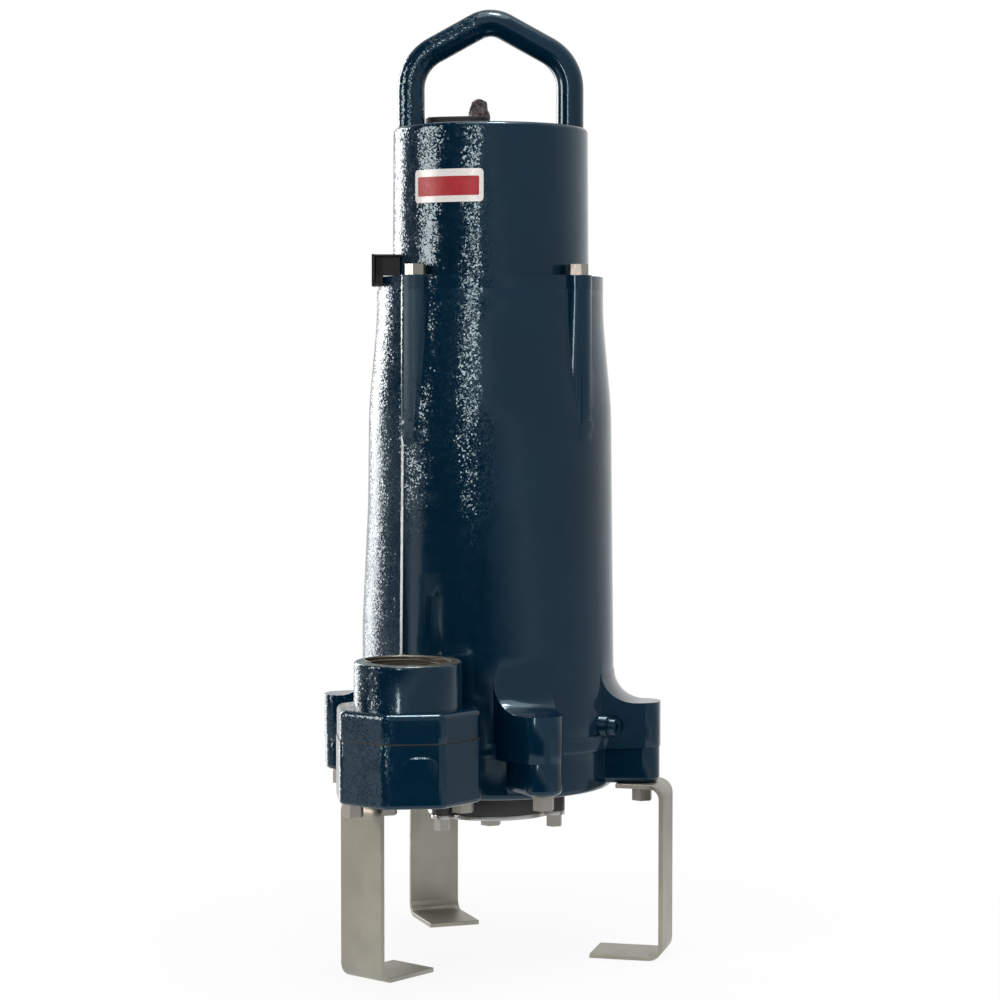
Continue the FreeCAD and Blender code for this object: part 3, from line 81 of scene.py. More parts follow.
class Tree:
    """A node tree, emptied and then built by name."""

    def __init__(self, tree):
        self.tree = tree
        self.tree.nodes.clear()

    def node(self, kind, **inputs):
        """A node and its inputs, whose names have underscores for spaces."""
        made = self.tree.nodes.new(kind)
        for name, value in inputs.items():
            self.put(made.inputs[name.replace("_", " ")], value)
        return made

    def link(self, source, target):
        self.tree.links.new(source, target)

    def put(self, socket, value):
        """Link a socket to another, or give it a plain value."""
        if isinstance(value, bpy.types.NodeSocket):
            self.link(value, socket)
        else:
            socket.default_value = value

    def math(self, operation, first, second=0.0, clamp=False):
        made = self.tree.nodes.new("ShaderNodeMath")
        made.operation = operation
        made.use_clamp = clamp
        for socket, value in zip(made.inputs, (first, second)):
            self.put(socket, value)
        return made.outputs[0]

    def product(self, first, *others):
        for value in others:
            first = self.math("MULTIPLY", first, value)
        return first

    def sum(self, first, *others):
        for value in others:
            first = self.math("ADD", first, value)
        return first

    def vector(self, operation, first, second=(0.0, 0.0, 0.0), scale=1.0):
        made = self.tree.nodes.new("ShaderNodeVectorMath")
        made.operation = operation
        self.put(made.inputs[0], first)
        if operation == "SCALE":
            self.put(made.inputs["Scale"], scale)
        else:
            self.put(made.inputs[1], second)
        return made.outputs["Value" if operation == "DOT_PRODUCT" else "Vector"]

    def choose(self, share, first, second):
        """One node's shader where the share is 0, and another's where it is 1."""
        made = self.tree.nodes.new("ShaderNodeMixShader")
        for socket, source in zip(made.inputs, (share, first.outputs[0], second.outputs[0])):
            self.link(source, socket)
        return made


class Shader(Tree):
    """A material and its node tree, with places in metres from the frame's origin."""

    def __init__(self, name):
        self.material = bpy.data.materials.new(name)
        self.material.use_nodes = True
        super().__init__(self.material.node_tree)
        self.output = self.node("ShaderNodeOutputMaterial")
        self.surface = self.node("ShaderNodeBsdfPrincipled")
        self.link(self.surface.outputs[0], self.output.inputs["Surface"])
        self.place = self.node("ShaderNodeTexCoord").outputs["Object"]

    def set(self, **inputs):
        """Set the surface's own inputs."""
        for name, value in inputs.items():
            self.put(self.surface.inputs[name.replace("_", " ")], value)

    def axes(self):
        return self.node("ShaderNodeSeparateXYZ", Vector=self.place).outputs

    def along(self, axis):
        """How far a point lies along a level direction from the shaft axis."""
        x, y, z = self.axes()
        return self.sum(self.product(x, axis.x), self.product(y, axis.y))

    def radius(self, centre=None):
        """The level distance from the shaft axis, or from another upright axis."""
        x, y, z = self.axes()
        if centre is not None:
            x = self.math("SUBTRACT", x, centre.x)
            y = self.math("SUBTRACT", y, centre.y)
        return self.math("SQRT", self.sum(self.product(x, x), self.product(y, y)))

    def stretch(self, scale):
        made = self.tree.nodes.new("ShaderNodeMapping")
        self.put(made.inputs["Vector"], self.place)
        made.inputs["Scale"].default_value = scale
        return made.outputs[0]

    def noise(self, scale, detail=2.0, rough=0.5, vector=None):
        """Noise whose features are about 1 / scale metres across."""
        return self.node("ShaderNodeTexNoise", Vector=vector or self.place, Scale=scale, Detail=detail,
                         Roughness=rough).outputs["Fac"]

    def between(self, value, low, high, new_low=0.0, new_high=1.0, smooth=True):
        """The value taken from one range to another, and held at its ends."""
        made = self.tree.nodes.new("ShaderNodeMapRange")
        made.interpolation_type = "SMOOTHSTEP" if smooth else "LINEAR"
        for name, number in (("Value", value), ("From Min", low), ("From Max", high),
                             ("To Min", new_low), ("To Max", new_high)):
            self.put(made.inputs[name], number)
        return made.outputs[0]

    def mix(self, share, first, second):
        made = self.tree.nodes.new("ShaderNodeMix")
        made.data_type = "RGBA"
        self.put(made.inputs["Factor"], share)
        for socket, value in ((made.inputs[6], first), (made.inputs[7], second)):
            self.put(socket, value)
        return made.outputs[2]

    def bump(self, height, distance, under=None):
        made = self.node("ShaderNodeBump", Height=height, Distance=distance, Strength=1.0)
        if under is not None:
            self.link(under, made.inputs["Normal"])
        return made.outputs[0]


def colour(red, green, blue):
    return (red, green, blue, 1.0)


def darker(base, share):
    return colour(*(value * share for value in base[:3]))


NAVY = colour(0.0006, 0.0150, 0.0340)
NAVY_DEEP = colour(0.0005, 0.0125, 0.0290)
ENAMEL_SHEEN = colour(0.64, 0.90, 1.0)
BARE_IRON = colour(0.165, 0.155, 0.130)
# A pale painted highlight colour, laid along the raised band's upright edge
PAINTED_EDGE_HIGHLIGHT = colour(0.58, 0.63, 0.65)

# Places that the frame gives, in metres
HUB_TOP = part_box("discharge_flange")[1][2]
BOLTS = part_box("discharge_bolts")
HUB_AXIS = Vector(((BOLTS[0][0] + BOLTS[1][0]) / 2, (BOLTS[0][1] + BOLTS[1][1]) / 2, 0))
CAP_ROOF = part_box("top_cap")[1][2]
FLANGE_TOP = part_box("cord_bracket")[0][2]
HOUSING_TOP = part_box("motor_housing")[1][2]
NECK = HOUSING_TOP - 0.020
SHOULDER = NECK - 0.062
BAND_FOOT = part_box("motor_housing")[0][2] + 0.0104

# The thread in the discharge hub
HUB_BORE = 0.0290
THREAD_ROOT = HUB_BORE + 0.0001
THREAD_PITCH = 0.002209
THREAD_DEPTH = 0.0014
THREAD_LENGTH = 0.0235
THREAD_TOP = HUB_TOP - 0.0008

# The plate on the cap's wall and its panel: radius, middle in degrees, length and height
PLATE_RADIUS = 0.06885
PLATE_ANGLE = -105.3
PLATE_SIZE = (0.0533, 0.0226)
PLATE_CORNER = 0.0028
PLATE_SHEET = 0.0007
PANEL_SIZE = (0.0478, 0.0132)
PANEL_CORNER = 0.0012
PANEL_SHEET = 0.00012
PANEL_DROP = 0.0003

# The oval cover on the roof, its screws, and the gland beside them
COVER_RISE = 0.0100
COVER_ROUND = 0.0130
COVER_STRAIGHT = 0.0100
COVER_SCREWS = (-0.018, -0.006)
GLAND_RADIUS = 0.0076
GLAND_SUNK = 0.0012
GLAND_TOP = 0.6065

# The clip, whose places are given to the camera's left and towards it
CAP_WALL = 0.0690
FLANGE_WALL = 0.0800
CLIP_REAR = 0.0110
CLIP_FRONT = 0.0330
CLIP_FAR = 0.0828
CLIP_SHEET = 0.0022
CLIP_LOW = FLANGE_TOP - 0.0068
CLIP_HIGH = FLANGE_TOP + 0.0155

# The raised band on the housing's left: its radius by height, and its upright edge
BAND_LEVELS = ((BAND_FOOT, 0.0913), (BAND_FOOT + 0.075, 0.0913), (BAND_FOOT + 0.158, 0.0872),
               (SHOULDER, 0.0863), (NECK, 0.0805), (HOUSING_TOP, 0.0805))
BAND_PROUD = 0.0001
BAND_TURN = 6.0
BAND_EDGE_FOOT = BAND_FOOT + 0.0105
BAND_EDGE_TOP = NECK + 0.009
BAND_EDGE_LOW = 0.0631
BAND_EDGE_HIGH = 0.0609
BAND_ROUND = ((0.0003, 0.00018), (0.0019, 0.00044), (0.0021, 0.00030), (0.0022, -0.0006))
LOWER_WALL = 0.0850
UPPER_WALL = 0.0790

# The arch on the front of the discharge boss
BOSS_TURN = -72.6
BULGE_OUT = Vector((math.cos(math.radians(BOSS_TURN)), math.sin(math.radians(BOSS_TURN)), 0))
BULGE_ALONG = Vector((-BULGE_OUT.y, BULGE_OUT.x, 0))
BULGE_MIDDLE = HUB_AXIS + BULGE_OUT * 0.0475 + BULGE_ALONG * 0.0040
BULGE_HALF = 0.0122
BULGE_DEPTH = 0.0018
BULGE_SUNK = 0.0002
BULGE_BACK = 0.0012
BULGE_CROWN = 0.0055
BULGE_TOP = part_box("discharge_gasket")[0][2] - 0.0075
BULGE_LOW = BULGE_TOP - 0.022

# The bolt column at the front left, whose right side leans with height, about its middle
COLUMN_LEFT = (-0.0596, -0.0588)
COLUMN_RIGHT = (-0.0475, -0.0455)
COLUMN_MIDDLE = 0.460
COLUMN_LEAN = 0.0765
COLUMN_FOOT = (0.366, 0.382)
COLUMN_TOP = (HOUSING_TOP + 0.009, HOUSING_TOP + 0.010)
COLUMN_FRONT = (0.030, 0.034)

# The enamel's facets: how many to a metre, how steep, and where they fade out
FACETS = 1000.0
FACET_TILT = 0.22
FACETS_END = (-0.016, 0.010)
FACETS_LOW = (0.285, 0.345)
FACETS_RIM = (-0.067, -0.061)


def dull_column(shade):
    """Where the front left bolt column stands, whose enamel is thin and dull."""
    x, y, z = shade.axes()
    side = shade.along(RIGHT)
    lean = shade.product(shade.math("SUBTRACT", COLUMN_MIDDLE, z), COLUMN_LEAN)
    across = shade.product(shade.between(side, *COLUMN_LEFT),
                           shade.between(shade.sum(side, lean), *COLUMN_RIGHT, 1.0, 0.0))
    upright = shade.product(shade.between(z, *COLUMN_FOOT), shade.between(z, *COLUMN_TOP, 1.0, 0.0))
    front = shade.product(shade.between(shade.along(TOWARDS), *COLUMN_FRONT), upright)
    return shade.product(across, front)


def cast_bump(shade):
    """Enamel over a sand casting: a slow swell and small flat facets, coarsest on the rough left."""
    x, y, z = shade.axes()
    side = shade.along(RIGHT)
    rough = shade.between(side, *FACETS_END, 1.0, 0.05)
    patches = shade.between(shade.noise(70, 2), 0.30, 0.70, 0.55, 1.25)
    high = shade.math("MAXIMUM", shade.between(z, *FACETS_LOW, 0.10, 1.0),
                      shade.between(side, *FACETS_RIM, 1.0, 0.0))
    calm = shade.math("SUBTRACT", 1.0, shade.product(dull_column(shade), 0.6))
    tilt = shade.product(rough, patches, high, FACET_TILT, calm)
    cells = shade.node("ShaderNodeTexVoronoi", Vector=shade.place, Scale=FACETS).outputs["Color"]
    lean = shade.vector("SCALE", shade.vector("SUBTRACT", cells, (0.5, 0.5, 0.5)), scale=tilt)
    normal = shade.node("ShaderNodeNewGeometry").outputs["Normal"]
    facets = shade.vector("NORMALIZE", shade.vector("ADD", normal, lean))
    return shade.bump(shade.noise(36, 2), 0.00014, under=facets)


def enamel(name, bare=None, metal=BARE_IRON, shine=0.75):
    """Glossy navy enamel. Where a mask is given, another colour shows through it: worn bare metal in the
    discharge hub, a pale painted highlight along the raised band's edge.
    """
    shade = Shader(name)
    base = shade.mix(shade.between(shade.noise(18, 3), 0.35, 0.65), NAVY, NAVY_DEEP)
    rough = shade.between(shade.noise(140, 2), 0.3, 0.7, 0.10, 0.16)
    rough = shade.sum(rough, shade.product(dull_column(shade), 0.38))
    if bare is not None:
        mask = bare(shade)
        base = shade.mix(mask, base, metal)
        rough = shade.sum(rough, shade.product(mask, 0.28))
        shade.set(Metallic=shade.product(mask, shine))
    shade.set(Base_Color=base, Roughness=rough, Normal=cast_bump(shade), IOR=1.5,
              Specular_Tint=ENAMEL_SHEEN)
    return shade


def hub_wear(shade):
    """Bare metal inside the discharge hub, and enamel worn off its rim."""
    x, y, z = shade.axes()
    inside = shade.between(shade.radius(HUB_AXIS), HUB_BORE + 0.0004, HUB_BORE + 0.0012, 1.0, 0.0)
    ragged = shade.sum(z, shade.product(shade.noise(260, 3, 0.7), 0.0022))
    rim = shade.between(ragged, HUB_TOP - 0.0002, HUB_TOP + 0.0010)
    return shade.math("MAXIMUM", inside, rim, clamp=True)


def band_edge_highlight(shade):
    """A painted highlight: a pale stripe along the raised band's upright edge, where that edge catches the
    light.
    """
    x, y, z = shade.axes()
    edge = shade.between(z, BAND_EDGE_FOOT, HOUSING_TOP, BAND_EDGE_LOW, BAND_EDGE_HIGH, smooth=False)
    inset = shade.math("SUBTRACT", edge, shade.along(-RIGHT))
    ragged = shade.sum(inset, shade.product(shade.noise(420, 2), 0.0007))
    return shade.between(ragged, 0.0006, 0.0008)


def satin(name, base, rough, brush=None, bump=0.00002, scale=900):
    """Satin metal between two roughnesses, brushed along one axis where a stretch is given."""
    shade = Shader(name)
    if brush:
        grain = shade.noise(1, 3, 0.6, shade.stretch(brush))
    else:
        grain = shade.noise(scale, 3, 0.6)
    patch = shade.between(shade.noise(30, 3), 0.3, 0.7)
    shade.set(Base_Color=shade.mix(patch, base, darker(base, 0.84)), Metallic=1.0,
              Roughness=shade.between(grain, 0.3, 0.7, *rough), Normal=shade.bump(grain, bump))
    return shade


def coarse(name, base, rough, scale, depth, metallic=0.0, spread=0.7):
    """A rough dull surface: black coated iron, rubber, moulded plastic or bare cast iron."""
    shade = Shader(name)
    grit = shade.noise(scale, 4, 0.65)
    tone = shade.between(shade.noise(scale * 0.15, 3), 0.3, 0.7)
    shade.set(Base_Color=shade.mix(tone, base, darker(base, spread)), Metallic=metallic,
              Roughness=shade.between(grit, 0.25, 0.75, rough - 0.08, rough + 0.08),
              Normal=shade.bump(grit, depth))
    return shade


def ringed(name, base, rough, pitch=0.0007):
    """Turned metal between two roughnesses, with fine tool rings about the shaft axis."""
    shade = Shader(name)
    x, y, z = shade.axes()
    wave = shade.math("SINE", shade.product(shade.sum(shade.radius(), z), 2 * math.pi / pitch))
    haze = shade.noise(60, 3)
    shade.set(Base_Color=shade.mix(haze, base, darker(base, 0.8)), Metallic=1.0,
              Roughness=shade.between(haze, 0.3, 0.7, *rough), Normal=shade.bump(wave, 0.000015))
    return shade


def laminated(name, base, pitch=0.0010):
    """Stacked sheet steel: thin level lines up the core."""
    shade = Shader(name)
    x, y, z = shade.axes()
    line = shade.math("SINE", shade.product(z, 2 * math.pi / pitch))
    haze = shade.noise(80, 3)
    shade.set(Base_Color=shade.mix(shade.between(line, -1, 1), darker(base, 0.55), base), Metallic=1.0,
              Roughness=shade.between(haze, 0.3, 0.7, 0.35, 0.5), Normal=shade.bump(line, 0.00006))
    return shade


def wound(name, base, pitch=0.0016):
    """Enamelled wire laid round the shaft axis, with painted shade darkening the grooves between the wires.
    """
    shade = Shader(name)
    x, y, z = shade.axes()
    path = shade.sum(shade.radius(), z, shade.product(shade.noise(70, 2), 0.004))
    wire = shade.math("SINE", shade.product(path, 2 * math.pi / pitch))
    # Painted shade: the colour darkens to about a third in the grooves between the wires
    shade.set(Base_Color=shade.mix(shade.between(wire, -1, 0.4), darker(base, 0.35), base),
              Metallic=0.8, Roughness=0.34, Normal=shade.bump(wire, 0.0004))
    return shade


def dress(names, shade):
    """Give CAD nodes a material in place of their own."""
    for name in names:
        slots = NODES[name].data.materials
        slots.clear()
        slots.append(shade.material)


def make_materials():
    """Every CAD node's material. Returns the enamel, which pieces made here share."""
    navy = enamel("navy_enamel")
    dress(["volute_casing", "motor_housing", "top_cap", "lifting_handle", "oil_plug"], navy)
    dress(["discharge_flange"], enamel("navy_enamel_hub", hub_wear))
    dress(["right_leg", "rear_leg", "front_leg"],
          satin("leg_stainless", colour(0.355, 0.350, 0.300), rough=(0.40, 0.50),
                brush=(1500, 1500, 30), bump=0.000012))
    dress(["cap_bolts", "casing_bolts", "leg_bolts", "discharge_bolts", "cutter_plate_bolts",
           "casing_washers", "leg_washers", "inlet_screws", "cutter_screw", "cutter_washer"],
          satin("fastener_steel", colour(0.38, 0.37, 0.34), rough=(0.36, 0.48), bump=0.00003))
    dress(["cutter_plate"],
          ringed("ground_steel", colour(0.48, 0.48, 0.47), rough=(0.22, 0.32), pitch=0.0009))
    dress(["rotary_cutter", "shaft", "impeller_key"],
          ringed("turned_steel", colour(0.46, 0.46, 0.47), rough=(0.20, 0.32)))
    dress(["lower_bearing_inner_race", "lower_bearing_outer_race", "upper_bearing_inner_race",
           "upper_bearing_outer_race", "seal_spring"],
          ringed("bearing_steel", colour(0.55, 0.55, 0.56), rough=(0.12, 0.20), pitch=0.0005))
    dress(["lower_bearing_balls", "upper_bearing_balls"],
          satin("ball_steel", colour(0.62, 0.62, 0.63), rough=(0.06, 0.12), bump=0.000004))
    dress(["lower_bearing_cage", "upper_bearing_cage"],
          satin("cage_brass", colour(0.55, 0.38, 0.16), rough=(0.25, 0.38)))
    dress(["suction_ring"],
          coarse("black_ring", colour(0.012, 0.013, 0.016), rough=0.42, scale=500, depth=0.00025))
    dress(["cord_bracket", "inlet_cover"],
          coarse("black_enamel", colour(0.010, 0.011, 0.014), rough=0.30, scale=700, depth=0.0001))
    dress(["cap_o_ring", "casing_o_ring", "gland_grommet", "discharge_gasket"],
          coarse("black_rubber", colour(0.016, 0.016, 0.017), rough=0.62, scale=900, depth=0.00008))
    dress(["impeller", "seal_plate", "upper_bearing_bracket"],
          coarse("grey_iron", colour(0.17, 0.165, 0.155), rough=0.55, scale=380, depth=0.0004,
                 metallic=0.6))
    dress(["stator_core", "rotor_core"], laminated("core_steel", colour(0.33, 0.33, 0.34)))
    dress(["stator_windings"], wound("copper_winding", colour(0.62, 0.27, 0.10)))
    dress(["start_capacitor", "terminal_block"],
          coarse("moulded_black", colour(0.022, 0.022, 0.024), rough=0.40, scale=1200, depth=0.00006))
    dress(["lower_seal_seat", "upper_seal_seat", "lower_seal_head", "upper_seal_head"],
          coarse("seal_ceramic", colour(0.62, 0.58, 0.50), rough=0.22, scale=1500, depth=0.00001,
                 spread=0.9))
    return navy


def new_piece(name, vertices, faces, shade, smooth=True, sharp=35):
    """A mesh that rides on the pump's body, with the given shader's material."""
    mesh = bpy.data.meshes.new(name)
    mesh.from_pydata([tuple(point) for point in vertices], [], faces)
    mesh.validate()
    made = bpy.data.objects.new(name, mesh)
    bpy.context.scene.collection.objects.link(made)
    work = bmesh.new()
    work.from_mesh(mesh)
    bmesh.ops.recalc_face_normals(work, faces=work.faces)
    work.to_mesh(mesh)
    work.free()
    for polygon in mesh.polygons:
        polygon.use_smooth = smooth
    if smooth:
        mesh.set_sharp_from_angle(angle=math.radians(sharp))
    mesh.materials.append(shade.material)
    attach(made, "pump_body")
    return made


def wall_faces(rings, count):
    """The faces from each ring of corners to the next, up a closed wall."""
    faces = []
    for ring in range(rings - 1):
        start = ring * count
        for step in range(count):
            after = (step + 1) % count
            faces.append((start + step, start + after, start + count + after, start + count + step))
    return faces


def end_faces(rings, count):
    """The faces that close the first ring and the last."""
    return tuple(reversed(range(count))), tuple(range((rings - 1) * count, rings * count))


def bevel(item, width, segments=2, least_angle=32):
    """Round the edges that turn by more than an angle in degrees."""
    made = item.modifiers.new("edge", "BEVEL")
    made.width = width
    made.segments = segments
    made.limit_method = "ANGLE"
    made.angle_limit = math.radians(least_angle)


def soften(name, width):
    """Small rounds on a CAD node's sharp edges, as castings and stampings have."""
    item = NODES[name]
    weld = item.modifiers.new("weld", "WELD")
    weld.merge_threshold = 0.00001
    bevel(item, width)
    if name == "top_cap":
        even = item.modifiers.new("even", "WEIGHTED_NORMAL")
        even.weight = 50
        even.keep_sharp = True


def soften_nodes():
    for name, width in (("motor_housing", 0.0010), ("volute_casing", 0.0010), ("top_cap", 0.0008),
                        ("discharge_flange", 0.0008), ("right_leg", 0.0004), ("rear_leg", 0.0004),
                        ("front_leg", 0.0004), ("cord_bracket", 0.0004), ("suction_ring", 0.0005),
                        ("cutter_plate", 0.0003), ("rotary_cutter", 0.0003), ("inlet_cover", 0.0006)):
        soften(name, width)
    for name in ("cap_bolts", "casing_bolts", "leg_bolts", "discharge_bolts", "cutter_plate_bolts",
                 "oil_plug", "inlet_screws"):
        soften(name, 0.0005)


def plate_row(half_length, half_height, corner, across):
    """Half the height of a rounded rectangle at a place along it."""
    inset = abs(across) - (half_length - corner)
    if inset <= 0:
        return half_height
    return half_height - corner + math.sqrt(max(corner * corner - inset * inset, 0.0))


def curved_plate(name, shade, radius, thickness, height, size, corner):
    """A thin plate with rounded corners, bent to the cap's round wall."""
    length, width = size
    half = length / 2
    round_steps = 8
    long_steps = 24
    steps = [-half + corner * (1 - math.cos(math.pi / 2 * index / round_steps))
             for index in range(round_steps + 1)]
    steps += [-half + corner + (length - 2 * corner) * index / long_steps for index in range(1, long_steps)]
    steps += [-place for place in reversed(steps[:round_steps + 1])]
    vertices = []
    for depth in (radius, radius + thickness):
        for across in steps:
            reach = plate_row(half, width / 2, corner, across)
            turn = math.radians(PLATE_ANGLE) + across / radius
            for level in (-reach, reach):
                vertices.append((depth * math.cos(turn), depth * math.sin(turn), height + level))
    count = len(steps)
    faces = []
    for index in range(count - 1):
        low = index * 2
        high = low + count * 2
        faces.append((low, low + 1, low + 3, low + 2))
        faces.append((high, high + 2, high + 3, high + 1))
        faces.append((low, low + 2, high + 2, high))
        faces.append((low + 1, high + 1, high + 3, low + 3))
    faces.append((0, count * 2, count * 2 + 1, 1))
    last = count * 2 - 2
    faces.append((last, last + 1, last + count * 2 + 1, last + count * 2))
    return new_piece(name, vertices, faces, shade)


def make_label():
    """The white plate on the cap's wall, with a plain red panel and nothing written on it."""
    low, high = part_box("name_plate")
    height = (low[2] + high[2]) / 2
    white = Shader("plate_white")
    white.set(Base_Color=colour(0.74, 0.71, 0.69),
              Roughness=white.between(white.noise(300, 3), 0.3, 0.7, 0.22, 0.34),
              Normal=white.bump(white.noise(500, 2), 0.00002), IOR=1.5)
    plate = curved_plate("cap_plate", white, PLATE_RADIUS, PLATE_SHEET, height, PLATE_SIZE, PLATE_CORNER)
    bevel(plate, 0.0002)
    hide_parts("name_plate")
    red = Shader("panel_red")
    red.set(Base_Color=red.mix(red.between(red.noise(220, 3), 0.35, 0.65), colour(0.38, 0.006, 0.016),
                               colour(0.32, 0.005, 0.013)),
            Roughness=red.between(red.noise(400, 3), 0.3, 0.7, 0.34, 0.46), Specular_IOR_Level=0.3,
            Normal=red.bump(red.noise(600, 2), 0.00002))
    curved_plate("cap_plate_panel", red, PLATE_RADIUS + PLATE_SHEET, PANEL_SHEET, height - PANEL_DROP,
                 PANEL_SIZE, PANEL_CORNER)


def middle_of(node):
    """The middle of a CAD node's box."""
    low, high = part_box(node)
    return (Vector(low) + Vector(high)) / 2


def cover_rise(along):
    """The cover's height above the roof, which grows towards the gland."""
    share = (along + COVER_STRAIGHT + COVER_ROUND) / (2 * (COVER_STRAIGHT + COVER_ROUND))
    return COVER_RISE * (0.91 + 0.09 * share)


def make_cover():
    """The oval black cover on the roof, highest beside the gland, with its two screws."""
    middle = middle_of("inlet_cover")
    end_steps = 16
    outline = []
    for end, start in ((1, -90), (-1, 90)):
        for step in range(end_steps + 1):
            turn = math.radians(start + 180 * step / end_steps)
            outline.append((end * COVER_STRAIGHT + COVER_ROUND * math.cos(turn),
                            COVER_ROUND * math.sin(turn)))
    vertices = []
    for top in (False, True):
        for along, back in outline:
            foot = Vector((middle[0], middle[1], CAP_ROOF)) + RIGHT * along - TOWARDS * back
            vertices.append(foot + UP * (cover_rise(along) if top else 0.0))
    count = len(outline)
    cover = new_piece("inlet_cover_raised", vertices,
                      [*end_faces(2, count), *wall_faces(2, count)],
                      coarse("black_cover", colour(0.004, 0.006, 0.011), rough=0.65, scale=700, depth=0.0001))
    bevel(cover, 0.0014, 3)
    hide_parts("inlet_cover", "inlet_screws")
    steel = satin("cover_screw_steel", colour(0.40, 0.39, 0.36), rough=(0.34, 0.46), bump=0.00002)
    for number, along in enumerate(COVER_SCREWS):
        screw_head("inlet_screw_%d" % (number + 1), steel,
                   Vector((middle[0], middle[1], CAP_ROOF + cover_rise(along))) + RIGHT * along)


def screw_head(name, shade, foot):
    """A round slotted screw head, standing on its foot."""
    rings = ((0.0036, -0.0004), (0.0036, 0.0003), (0.0031, 0.0007), (0.0018, 0.0009))
    slot_half = 0.0006
    slot_depth = 0.0004
    slot_level = 0.0005
    count = 24
    vertices = []
    for radius, rise in rings:
        for step in range(count):
            turn = 2 * math.pi * step / count
            in_slot = rise > slot_level and abs(math.sin(turn)) * radius < slot_half
            level = rise - slot_depth if in_slot else rise
            vertices.append(foot + Vector((radius * math.cos(turn), radius * math.sin(turn), level)))
    bottom, top = end_faces(len(rings), count)
    faces = [bottom, *wall_faces(len(rings), count), top]
    new_piece(name, vertices, faces, shade, smooth=False)


def make_gland():
    """The rough grey lump round the cord's way in, closed at its top, where no cord is shown."""
    middle = middle_of("cable_gland")
    foot = CAP_ROOF + COVER_RISE - GLAND_SUNK
    height = GLAND_TOP - foot
    levels = 22
    count = 48
    vertices = []
    for level in range(levels + 1):
        share = level / levels
        body = GLAND_RADIUS * math.cos(share * math.pi / 2) ** 0.85
        for step in range(count):
            turn = 2 * math.pi * step / count
            lean = Vector((math.cos(turn), math.sin(turn), 0))
            place = Vector((math.cos(turn) * 2.2, math.sin(turn) * 2.2, share * 4.0))
            lumps = noise.noise(place) * 0.0011 + noise.noise(place * 2.7) * 0.0007
            chips = noise.noise(place * 6.5) * 0.00035
            radius = max(body * (1 - 0.10 * share) + (lumps + chips) * min(1.0, 4 * (1 - share)), 0.00005)
            rise = height * math.sin(share * math.pi / 2) + lumps * 0.5 * share
            vertices.append(Vector((middle[0], middle[1], foot + rise)) + lean * radius)
    bottom, top = end_faces(levels + 1, count)
    faces = [bottom, *wall_faces(levels + 1, count), top]
    shade = coarse("rough_zinc", colour(0.150, 0.130, 0.125), rough=0.40, scale=900, depth=0.0003,
                   metallic=0.6, spread=0.30)
    lump = new_piece("gland_lump", vertices, faces, shade, smooth=False)
    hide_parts("cable_gland", "gland_grommet")


def prism_between(vertices, faces, plan, low, high):
    """Add an upright prism whose plan is given along the camera's left and towards it."""
    start = len(vertices)
    count = len(plan)
    for level in (low, high):
        vertices += [-RIGHT * left + TOWARDS * near + UP * level for left, near in plan]
    faces.append(tuple(range(start, start + count)))
    faces.append(tuple(reversed(range(start + count, start + 2 * count))))
    for index in range(count):
        after = (index + 1) % count
        faces.append((start + index, start + count + index, start + count + after, start + after))


def oblong(near_side, far_side, rear, front):
    """The plan of a plate with four straight sides."""
    return [(near_side, rear), (far_side, rear), (far_side, front), (near_side, front)]


def up_to_round(radius, rear, front, far):
    """The plan of a plate that reaches from a round wall out to a straight edge."""
    count = 10
    steps = [rear + (front - rear) * index / count for index in range(count + 1)]
    return [(math.sqrt(radius * radius - near * near), near) for near in steps] + [(far, front), (far, rear)]


def make_clip():
    """The black sheet loop on the cap's left side, closed below and half open behind."""
    vertices = []
    faces = []
    inner = CLIP_FAR - CLIP_SHEET
    plate_sheet = 0.0016
    plate_end = CLIP_FAR - 0.0002
    web_end = inner + 0.0004
    web_rear = CLIP_FRONT - 0.0044
    web_front = CLIP_FRONT - 0.0026
    prism_between(vertices, faces, oblong(inner, CLIP_FAR, CLIP_REAR, CLIP_FRONT), CLIP_LOW, CLIP_HIGH)
    for wall, low in ((CAP_WALL, CLIP_HIGH - 0.0018), (FLANGE_WALL, CLIP_LOW + 0.0002)):
        plan = up_to_round(wall, CLIP_REAR, CLIP_FRONT, plate_end)
        prism_between(vertices, faces, plan, low, low + plate_sheet)
    for near_side, low in ((0.0748, CLIP_LOW + 0.0004), (0.0629, FLANGE_TOP + 0.0005)):
        prism_between(vertices, faces, oblong(near_side, web_end, web_rear, web_front), low,
                      CLIP_HIGH - 0.0010)
    shade = coarse("black_clip", colour(0.007, 0.008, 0.012), rough=0.42, scale=700, depth=0.00008)
    shade.set(Specular_IOR_Level=0.25)
    clip = new_piece("cord_clip", vertices, faces, shade, smooth=False)
    bevel(clip, 0.0003)
    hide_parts("cord_bracket")


def band_radius(height):
    """The outer radius of the raised band on the housing's left, at a height."""
    for (low, first), (high, last) in zip(BAND_LEVELS, BAND_LEVELS[1:]):
        if height <= high:
            share = (height - low) / (high - low)
            return first + (last - first) * share
    return BAND_LEVELS[-1][1]


